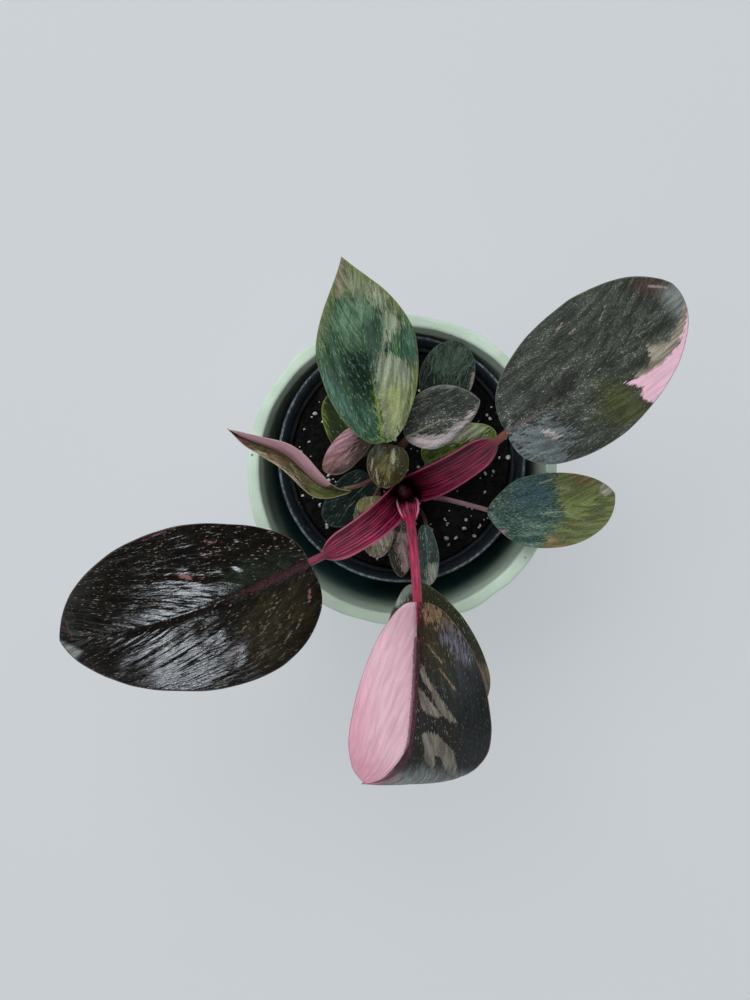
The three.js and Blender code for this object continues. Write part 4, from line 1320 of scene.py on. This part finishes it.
def blade_grid(leaf):
    """t along a blade and v out from its midrib at each point of its grid, and the side: -1 left, 1 right"""
    rows, half = next(counts for least, *counts in BLADE_GRIDS if leaf["length"] > least)
    out = (np.arange(half + 1) / half) ** 1.2  # the midrib's groove needs close columns
    v = np.concatenate([out[::-1], out[1:]])
    side = np.concatenate([-np.ones(half), [1], np.ones(half)])
    t, v = np.meshgrid(np.linspace(0, 1, rows + 1), v, indexing="ij")
    return t, v, np.broadcast_to(side, t.shape)


def blade_relief(leaf, number, t, v, side, x, run, start, quilting):
    """how far the top face rises: quilting between the side veins, blisters and waves, less the groove"""
    scale = min(1.0, leaf["width"] / FULL_RELIEF_WIDTH)
    quiet = smooth(0, 0.06, t) * (1 - smooth(0.95, 1, t))
    level = np.zeros_like(t)
    ridges = lumps(np.stack((side * run * 0.05, start, level + 7.3 * number), -1), 2.1, number)
    ridges = ridges + 0.5 * lumps(np.stack((side * run * 0.05, start, level), -1), 4.6, number + 60)
    ridges = quilting * ridges * smooth(0, 0.12, v) * (1 - 0.6 * smooth(0.8, 1, v))
    flat = np.stack((side * x, t * leaf["length"], level + 7.3 * number), -1)
    blister = 0.35 * lumps(flat, leaf["width"] * 0.22, number) + 0.12 * lumps(flat, 3.1, number + 40)
    edge_wave = leaf["ripple"] * lumps(flat * (0, 1, 1), leaf["length"] * 0.16, number + 80) * v**4
    groove = GROOVE_DEPTH * scale * np.exp(-((x / (1.1 * scale)) ** 2)) * (1 - 0.7 * t)
    keel = KEEL_DEPTH * scale * np.exp(-((x / (1.4 * scale)) ** 2)) * (1 - 0.75 * t) * smooth(0, 0.03, t)
    rise = (ridges + blister * smooth(0, 0.2, v)) * scale * quiet + edge_wave * quiet - groove
    return rise, keel + groove * 0.4


def blade_mesh(name, leaf, look, shape):
    """a thin closed blade with a sunken midrib, raised side veins and rounded edges"""
    number = list(LEAVES).index(name)
    t, v, side = blade_grid(leaf)
    # the margin draws in a little here and there
    along = np.stack((side * 9, t * leaf["length"], np.zeros_like(t)), -1)
    notch = 0.5 + 0.5 * lumps(along, 6.5, number + 20)
    place, normal, x, y = blade_points(leaf, t, v * (1 - leaf["waver"] * notch * v**6), side)
    run, start = vein_place(leaf, x, y)
    rise, keel = blade_relief(leaf, number, t, v, side, x, run, start, shape.quilting / MM)
    thick = shape.blade_thickness / MM * (1 - 0.5 * smooth(0.86, 1, v)) * (1 - 0.3 * t)
    top = place + normal * (rise - 0.1)[..., None]
    under = place + normal * (rise - 0.1 - thick - keel)[..., None]
    outward = unit(place[:, [0, -1]] - place[:, [1, -2]])
    rim = (top[:, [0, -1]] + under[:, [0, -1]]) / 2 + outward * thick[:, [0, -1], None] * 0.35

    def ring(on_top, on_under, left, right):
        """each row's values once round the blade: over its top, round the right edge and back below"""
        return np.concatenate([on_top, right[:, None], on_under[:, ::-1], left[:, None]], 1)

    points = ring(top, under, rim[:, 0], rim[:, 1])
    faces = grid_faces(len(points), points.shape[1], closed=True)[:, ::-1]
    uv = np.stack([ring(k, k, k[:, 0], k[:, -1]) for k in (side * run, start)], -1)

    _, rib_width, rib_reach = look["rib"]
    band = rib_width * (1.15 - 0.8 * t)
    vein = flat_place(leaf, t, v, side)[2]
    shown = {
        "rib": np.exp(-((x / band) ** 2)) * (1 - smooth(rib_reach - 0.3, rib_reach, t)),
        "edge": 1 - smooth(0.1, 0.8, (1 - v) * vein),
    }
    spots = np.stack((side * x, y), -1).reshape(-1, 2)
    for k, depth in enumerate(patch_depths(look, spots)):
        shown[f"patch_{k}"] = depth.reshape(t.shape)
    masks = {key: ring(mask, mask, mask[:, 0], mask[:, -1]).ravel() for key, mask in shown.items()}
    rim_below = np.full(len(t), 0.3)
    masks["below"] = ring(np.zeros_like(t), np.ones_like(t), rim_below, rim_below).ravel()
    return make_mesh(f"leaf_{name}", points.reshape(-1, 3), faces, uv.reshape(-1, 2), masks)


def patch_skin(paint, colour, ridge, grained):
    """a patch's colour, streaked with a darker and a lighter tone"""
    depth = 0.04 if colour[0] > PALE_PATCH else 0.2
    dim, bright = shaded(colour, 1 - depth), shaded(colour, 1 + depth / 2)
    return paint.mix(paint.step(ridge, 0.36, 0.64), grained(dim, 1 - depth), grained(bright, 1 - depth))


def leaf_material(name, look):
    """variegated leaf skin, with some patches of painted sheen: two tones, its flecks, patches and marks,
    then midrib and margin
    """
    paint = Paint(f"leaf_skin_{name}")
    order = list(LOOKS).index(name)
    veins = paint.veins((37 * order, 11 * order, 0))
    run = look.get("streaks", 1)
    broad = paint.fibres(veins, 0.08, 0.15)
    ridge = paint.fibres(veins, 0.09, 0.42, detail=1)
    streak = paint.fibres(veins, 0.42 / run, 0.8, detail=3, roughness=0.55, swirl=0.6)
    teeth = paint.fibres(veins, 0.5, 0.55, detail=3, roughness=0.6, swirl=0.4)
    grain = paint.fibres(veins, 1.8, 2.4, roughness=0.6)
    centred = paint.centred

    def grained(colour, share):
        """a colour with darker grain in it"""
        return paint.mix(paint.step(grain, 0.4, 0.62), shaded(colour, share), colour)

    dark, light = look["ground"]
    blend = paint.add(centred(streak, 0.5), centred(broad, 0.55), centred(teeth, 0.4), 0.5)
    tone = paint.mix(paint.step(blend, 0.36, 0.66), grained(dark, 0.62), grained(light, 0.68))
    pale, amount, length = look["flecks"]
    spot = 1.2 + 0.7 / length
    dots = paint.fibres(veins, spot / length, spot, detail=1)
    dots = paint.add(dots, centred(broad, 0.3), centred(teeth, 0.25))
    limit = 0.76 - 0.16 * amount
    fleck = paint.step(dots, limit, limit + 0.09)
    tone = paint.mix(paint.times(fleck, 0.8), tone, pale)

    patches, marks = look.get("patches", ()), look.get("marks", ())
    ragged = paint.add(centred(streak, 1.1), centred(teeth, 1.6), centred(grain, 0.3))
    # some patches are painted sheen, as the LOOKS table notes
    for k, (colour, soft, wild, _) in enumerate(patches):
        border = paint.add(paint.attribute(f"patch_{k}"), paint.times(ragged, wild))
        body = patch_skin(paint, colour, ridge, grained)
        if colour[0] < PALE_PATCH:
            body = paint.mix(paint.times(fleck, 0.5), body, pale)
            body = paint.mix(paint.step(blend, 0.52, 0.7, 0.35), body, halved(colour))
        tone = paint.mix(paint.step(border, -soft, soft), tone, body)
    for k, (colour, _) in enumerate(marks, len(patches)):
        border = paint.add(paint.attribute(f"patch_{k}"), centred(grain, 2.2), centred(teeth, 1.8))
        tone = paint.mix(paint.step(border, -0.1, 0.35, 0.75), tone, grained(colour, 0.85))
    tone = paint.mix(paint.step(paint.attribute("edge"), 0.2, 1, 0.6), tone, look["edge"])
    rib = paint.add(paint.attribute("rib"), centred(grain, 1.2), centred(teeth, 1.1))
    tone = paint.mix(paint.step(rib, 0.1, 1.0, 0.85), tone, grained(look["rib"][0], 0.7))
    below = paint.attribute("below")
    tone = paint.mix(paint.times(below, 0.55), tone, look.get("under", UNDERSIDE))

    rough = paint.add(paint.times(grain, 0.14), look["gloss"], paint.times(below, 0.25))
    paint.set(Base_Color=tone, Roughness=rough, Specular_IOR_Level=look.get("shine", 0.25))
    weights = ((streak, 0.22), (teeth, 0.2), (grain, 0.05))
    paint.bump(paint.add(ridge, *(paint.times(*pair) for pair in weights)), look["relief"])
    return paint.material


class PLANT_OT_blades(bpy.types.Operator):
    """Makes the seventeen leaf blades."""

    bl_idname = "plant.blades"
    bl_label = "Leaf blades"

    def execute(self, context):
        for name, entry in LEAVES.items():
            leaf = {**COMMON_LEAF, **entry}
            look = LOOKS[name]
            piece = blade_mesh(name, leaf, look, context.scene.plant_shape)
            piece.data.materials.append(leaf_material(name, look))
            finish_piece(piece, "leaf", f"blade_{name}")
        return {"FINISHED"}


# ---- stalks ----
PLAIN_STALK_GRID = (24, 48)  # points round a stalk, and steps along it
WINGED_STALK_GRID = (120, 84)
WING_SPREAD = math.radians(96)  # how far round a sheath reaches, each way from its back
RIB_COUNT = 12
RIB_HEIGHT = 0.1
SHEATH_END = 0.08  # share of the stalk in which the sheath's end is rounded
HEAD_REACH = 2.2  # how far along the midrib a stalk's head lies
HEAD_DROP = 0.2  # air between the head and the blade


def stalk_path(leaf, steps):
    """centres and directions along a leaf's stalk, and the level direction that it leaves in"""
    stem = STEMS[leaf["stem"]]
    axis = stem_centre(stem, leaf["start"])
    along, _, out = blade_frame(
        np.radians(leaf["heading"]), np.radians(leaf["pitch"]), math.radians(leaf["roll"])
    )
    end = np.array(leaf["at"]) + along * HEAD_REACH - out * (leaf["stalk"] + HEAD_DROP)
    away = (end - axis) * (1, 1, 0)
    distance = np.linalg.norm(away)
    away = away / distance
    begin = axis + away * (stem_radius(stem, leaf["start"]) + leaf["stalk"] * 0.6)
    rise = end[2] - begin[2]
    arriving = blade_frame(np.radians(leaf["arrive"]), np.radians(leaf["rise"]), 0.0)[0]
    handles = np.array([
        begin,
        begin + away * distance * 0.08 + np.array([0, 0, rise * 0.5]),
        end - arriving * 0.42 * math.hypot(distance, rise),
        end,
    ])
    s = np.linspace(0, 1, steps + 1)[:, None]
    centres = (
        (1 - s) ** 3 * handles[0] + 3 * s * (1 - s) ** 2 * handles[1]
        + 3 * s * s * (1 - s) * handles[2] + s**3 * handles[3]
    )
    tangents = unit(
        (1 - s) ** 2 * (handles[1] - handles[0]) + 2 * s * (1 - s) * (handles[2] - handles[1])
        + s * s * (handles[3] - handles[2])
    )
    return s[:, 0], centres, tangents, away, axis


def sheathed(leaf, s, section):
    """a stalk's section opened into a ribbed channel as far as its sheath reaches, its edges and ribs"""
    sides = section.shape[1]
    half = sides // 2
    sheath = leaf["sheath"]
    width = leaf["wing"] / 2 * (0.82 + 0.18 * np.sin(np.pi * np.clip(s / sheath, 0, 1)))[:, None]
    inside = np.arange(sides) >= half
    u = (2 * (np.arange(sides) % half) / (half - 1) - 1) * np.where(inside, -1, 1)
    angle = -np.pi / 2 + u * WING_SPREAD
    thin = WING_THICKNESS * 0.8
    thickness = thin + (1.9 * leaf["stalk"] - thin) * np.cos(u * np.pi / 2) ** 3
    ribs = np.cos(u * RIB_COUNT * np.pi) * (1 - u**6) * np.ones(section.shape[:2])
    raised = RIB_HEIGHT * ribs
    reach = np.where(inside, width - thickness - raised, width + raised)
    channel = np.stack((reach * np.cos(angle), (width - leaf["stalk"]) + reach * np.sin(angle)), -1)
    # the sheath's far end is rounded
    share = np.sqrt(1 - np.clip((s - sheath + SHEATH_END) / SHEATH_END, 0, 1) ** 2)[:, None]
    section = section + (channel - section) * share[..., None]
    return section, share * smooth(0.86, 1, np.abs(u)), ribs * share


def stalk_mesh(name, leaf):
    """a leaf's stalk, with its sheath where it has one, from inside the stem to under the blade"""
    winged = leaf["wing"] > 0
    sides, steps = WINGED_STALK_GRID if winged else PLAIN_STALK_GRID
    s, centres, tangents, away, axis = stalk_path(leaf, steps)
    across = np.array([-away[1], away[0], 0])
    across = unit(across - (tangents @ across)[:, None] * tangents)
    inward = np.cross(tangents, across)

    turn = -np.pi / 2 + (np.arange(sides) + 0.5 - sides / 4) / sides * 2 * np.pi
    radius = leaf["stalk"] * (1.12 - 0.24 * s)[:, None]
    section = np.stack((radius * np.cos(turn), radius * np.sin(turn)), -1)
    wing_edge = ribs = np.zeros_like(section[..., 0])
    if winged:
        section, wing_edge, ribs = sheathed(leaf, s, section)
    points = centres[:, None] + section[..., :1] * across[:, None] + section[..., 1:] * inward[:, None]

    # the foot runs into the stem and the head under the blade
    foot = axis + away * 0.2 - np.array([0, 0, 3])
    first = foot + (points[0] - centres[0]) * 0.45
    last = centres[-1] + tangents[-1] * leaf["stalk"] * 0.9 + (points[-1] - centres[-1]) * 0.5
    points = np.concatenate([first[None], points, last[None]])
    rows = len(points)
    ends = (ladder_faces(0, sides)[:, ::-1], ladder_faces(rows - 1, sides))
    faces = np.vstack([grid_faces(rows, sides, closed=True), *ends])
    length = np.linalg.norm(np.diff(centres, axis=0), axis=1).sum()
    along = np.concatenate([[0], s, [1]])[:, None] * np.ones(sides)
    around = np.broadcast_to(np.abs((np.arange(sides) / sides * 2) % 2 - 1), along.shape)
    girth = leaf["wing"] * 1.4 if winged else leaf["stalk"] * 3
    uv = np.stack((along * length, around * girth), -1)
    masks = {"reach": along.ravel()}
    for key, mask in (("edge", wing_edge), ("ribs", ribs)):
        masks[key] = np.concatenate([mask[:1], mask, mask[-1:]]).ravel()
    return make_mesh(f"stalk_{name}", points.reshape(-1, 3), faces, uv.reshape(-1, 2), masks)


def stalk_material(name):
    """ribbed stalk skin that changes colour towards the blade, with shade painted between its ribs and near
    the stem
    """
    body, shade, rib, far = STALK_LOOKS.get(name, PLAIN_STALK)
    paint = Paint(f"stalk_skin_{name}")
    number = list(LEAVES).index(name)
    veins = paint.veins((23 * number, 5 * number, 0))
    lines = paint.fibres(veins, 0.04, 2.8)
    fine = paint.fibres(veins, 0.5, 3.5)
    reach = paint.attribute("reach")
    tone = paint.mix(paint.step(paint.fibres(veins, 0.09, 0.4), 0.38, 0.62), shade, body)
    raised = paint.add(paint.times(paint.attribute("ribs"), 0.22), lines)
    for share, colour in (
        (paint.step(raised, 0.56, 0.74, 0.7), rib),
        # darker between the ribs: the skin's own dark lines, and painted shade in the grooves
        (paint.step(raised, 0.36, 0.16, 0.38), halved(shade)),
        (paint.step(reach, 0.85, 0.98), far),
        (paint.step(paint.attribute("edge"), 0.2, 0.9, 0.6), rib),
        # painted shade: darker near the stem, where the stalks crowd into the dark middle
        (paint.step(reach, 0.3, 0.04, 0.75), halved(shade)),
        (paint.step(fine, 0.62, 0.72, 0.3), rib),
    ):
        tone = paint.mix(share, tone, colour)
    paint.set(Base_Color=tone, Roughness=paint.add(paint.times(fine, 0.2), 0.26))
    paint.bump(paint.add(lines, paint.times(fine, 0.2)), 0.3)
    return paint.material


class PLANT_OT_stalks(bpy.types.Operator):
    """Makes the leaf stalks, with the ribbed sheaths of the large ones."""

    bl_idname = "plant.stalks"
    bl_label = "Leaf stalks"

    def execute(self, context):
        for name, entry in LEAVES.items():
            piece = stalk_mesh(name, {**COMMON_LEAF, **entry})
            piece.data.materials.append(stalk_material(name))
            finish_piece(piece, "petiole", f"petiole_{name}")
        return {"FINISHED"}


# ---- studio ----
# The broad lamps: size and place, in metres.
BROAD_LAMPS = {
    "skylight": ((1.4, 1.4), (-0.3, 0.2, 2.0)),
    "window": ((1.2, 0.9), (-0.4, 0.85, 1.8)),
}
BROAD_COLOUR = (0.94, 0.98, 1.0)
BROAD_TARGET = (0, 0, 0.1)
SOFTBOX = dict(size=(0.4, 0.4), colour=(0.85, 0.92, 1.0), place=(-0.55, -0.63, 1.5))
SOFTBOX_TARGET = (-0.08, -0.07, 0.185)
COOL_WHITE = (0.9, 0.96, 1.0, 1.0)
FLOOR_REACH = 12.0
FLOOR_LEVEL = -0.0003
CAMERA_PLACE = (-11.5 * MM, -12.6 * MM)
LENS = dict(sensor_fit="VERTICAL", sensor_height=36, lens=48)


def aim(thing, place, target):
    """moves a lamp to a place, in metres, and turns it to a target"""
    thing.location = place
    thing.rotation_euler = (Vector(target) - Vector(place)).to_track_quat("-Z", "Y").to_euler()


def studio_world(studio):
    """soft light from the walls, under a dark ceiling that leaves the gloss clear"""
    world = bpy.data.worlds.new("studio")
    world.use_nodes = True
    tree = world.node_tree
    link = tree.links.new
    facing = new_node(tree, "ShaderNodeVectorMath", operation="DOT_PRODUCT")
    link(new_node(tree, "ShaderNodeTexCoord").outputs["Generated"], facing.inputs[0])
    facing.inputs[1].default_value = (0, 0, 1)
    fade = new_node(tree, "ShaderNodeMapRange", interpolation_type="SMOOTHSTEP")
    link(facing.outputs["Value"], fade.inputs["Value"])
    wanted = (("From Min", 0.2), ("From Max", 0.7), ("To Min", studio.walls), ("To Max", studio.ceiling))
    for key, value in wanted:
        fade.inputs[key].default_value = value
    background = tree.nodes["Background"]
    background.inputs["Color"].default_value = COOL_WHITE
    link(fade.outputs[0], background.inputs["Strength"])
    return world


def area_lamp(name, size, power, colour):
    lamp = bpy.data.lights.new(name, "AREA")
    lamp.shape = "RECTANGLE"
    lamp.size, lamp.size_y = size
    lamp.energy = power
    lamp.color = colour
    return linked(name, lamp)


class PLANT_OT_stage(bpy.types.Operator):
    """Makes the pale floor, the soft lights and the camera."""

    bl_idname = "plant.stage"
    bl_label = "Stage"

    def execute(self, context):
        studio = context.scene.plant_studio
        self.floor(studio)
        context.scene.world = studio_world(studio)
        context.scene.view_settings.view_transform = "Standard"
        self.lamps(studio)
        camera = bpy.data.cameras.new("camera")
        for key, value in LENS.items():
            setattr(camera, key, value)
        holder = linked("camera", camera)
        holder.location = (*CAMERA_PLACE, studio.camera_height)
        context.scene.camera = holder
        return {"FINISHED"}

    def floor(self, studio):
        """a pale table with a little light of its own, so that it takes only faint shadows"""
        mesh = bpy.data.meshes.new("floor")
        signs = ((-1, -1), (1, -1), (1, 1), (-1, 1))
        corners = [(x * FLOOR_REACH, y * FLOOR_REACH, FLOOR_LEVEL) for x, y in signs]
        mesh.from_pydata(corners, [], [(0, 1, 2, 3)])
        paint = Paint("floor_paint")
        paint.set(Base_Color=(*studio.floor_colour, 1.0), Roughness=0.8, Specular_IOR_Level=0.1)
        paint.set(Emission_Color=COOL_WHITE, Emission_Strength=studio.table_glow)
        mesh.materials.append(paint.material)
        linked("floor", mesh)

    def lamps(self, studio):
        """two broad lamps that light all surfaces, and a softbox that only shows in the gloss"""
        for name, (size, place) in BROAD_LAMPS.items():
            broad = area_lamp(name, size, getattr(studio, name + "_power"), BROAD_COLOUR)
            aim(broad, place, BROAD_TARGET)
            broad.visible_glossy = False
        softbox = area_lamp("softbox", SOFTBOX["size"], studio.softbox_power, SOFTBOX["colour"])
        aim(softbox, SOFTBOX["place"], SOFTBOX_TARGET)
        softbox.visible_diffuse = False


# ---- settings, panel and registration ----
class PlantShape(bpy.types.PropertyGroup):
    """Sizes of the plant's finer forms."""

    blade_thickness: FloatProperty(
        name="Blade thickness", description="Thickness of a leaf blade", default=0.0005, unit="LENGTH"
    )
    quilting: FloatProperty(
        name="Quilting", description="How far the blade rises between side veins", default=0.00016,
        unit="LENGTH",
    )
    crumb_density: FloatProperty(
        name="Crumb density", description="Loose peat crumbs in a square metre", default=260000
    )
    perlite_density: FloatProperty(
        name="Perlite density", description="Perlite grains in a square metre", default=27000
    )
    perlite_size: FloatProperty(
        name="Perlite size", description="Largest perlite grain", default=0.0027, unit="LENGTH"
    )


class PlantColours(bpy.types.PropertyGroup):
    """Colours of the pots and the soil, as display values."""

    glaze: FloatVectorProperty(
        name="Glaze", description="Colour of the cachepot's glaze", default=(0.72, 0.79, 0.715),
        subtype="COLOR_GAMMA",
    )
    peat: FloatVectorProperty(
        name="Peat", description="Colour of the moist peat", default=(0.115, 0.11, 0.11),
        subtype="COLOR_GAMMA",
    )
    perlite: FloatVectorProperty(
        name="Perlite", description="Colour of clean perlite", default=(0.85, 0.84, 0.80),
        subtype="COLOR_GAMMA",
    )


class PlantStudio(bpy.types.PropertyGroup):
    """Floor, light and camera."""

    floor_colour: FloatVectorProperty(
        name="Floor", description="Colour of the floor", default=(0.2, 0.2, 0.207), subtype="COLOR"
    )
    table_glow: FloatProperty(
        name="Table glow", description="Light that the floor gives of itself", default=0.45
    )
    walls: FloatProperty(name="Walls", description="Strength of the light from all around", default=1.0)
    ceiling: FloatProperty(name="Ceiling", description="Strength of the light from above", default=0.03)
    skylight_power: FloatProperty(
        name="Skylight", description="Power of the broad lamp above", default=19, unit="POWER"
    )
    window_power: FloatProperty(
        name="Window", description="Power of the broad lamp behind the plant", default=18, unit="POWER"
    )
    softbox_power: FloatProperty(
        name="Softbox", description="Power of the lamp that gives the highlights", default=8, unit="POWER"
    )
    camera_height: FloatProperty(
        name="Camera height", description="Height of the camera above the floor", default=0.678,
        unit="LENGTH",
    )


MAKERS = (
    PLANT_OT_cachepot,
    PLANT_OT_nursery_pot,
    PLANT_OT_soil,
    PLANT_OT_stems,
    PLANT_OT_stalks,
    PLANT_OT_blades,
    PLANT_OT_stage,
)
SETTINGS = {"plant_shape": PlantShape, "plant_colours": PlantColours, "plant_studio": PlantStudio}


class VIEW3D_PT_plant(bpy.types.Panel):
    """Lists the settings and the operators in the order that they are used."""

    bl_label = "Potted philodendron"
    bl_idname = "VIEW3D_PT_plant"
    bl_space_type = "VIEW_3D"
    bl_region_type = "UI"
    bl_category = "Plant"

    def draw(self, context):
        for key, group in SETTINGS.items():
            box = self.layout.box()
            for name in group.__annotations__:
                box.prop(getattr(context.scene, key), name)
        for maker in MAKERS:
            self.layout.operator(maker.bl_idname)


def register():
    for group in SETTINGS.values():
        bpy.utils.register_class(group)
    for key, group in SETTINGS.items():
        setattr(bpy.types.Scene, key, PointerProperty(type=group))
    for maker in MAKERS:
        bpy.utils.register_class(maker)
    bpy.utils.register_class(VIEW3D_PT_plant)


def unregister():
    bpy.utils.unregister_class(VIEW3D_PT_plant)
    for maker in reversed(MAKERS):
        bpy.utils.unregister_class(maker)
    for key in SETTINGS:
        delattr(bpy.types.Scene, key)
    for group in SETTINGS.values():
        bpy.utils.unregister_class(group)


def main():
    register()
    bpy.ops.plant.cachepot()
    bpy.ops.plant.nursery_pot()
    bpy.ops.plant.soil()
    bpy.ops.plant.stems()
    bpy.ops.plant.stalks()
    bpy.ops.plant.blades()
    bpy.ops.plant.stage()


if __name__ == "__main__":
    main()
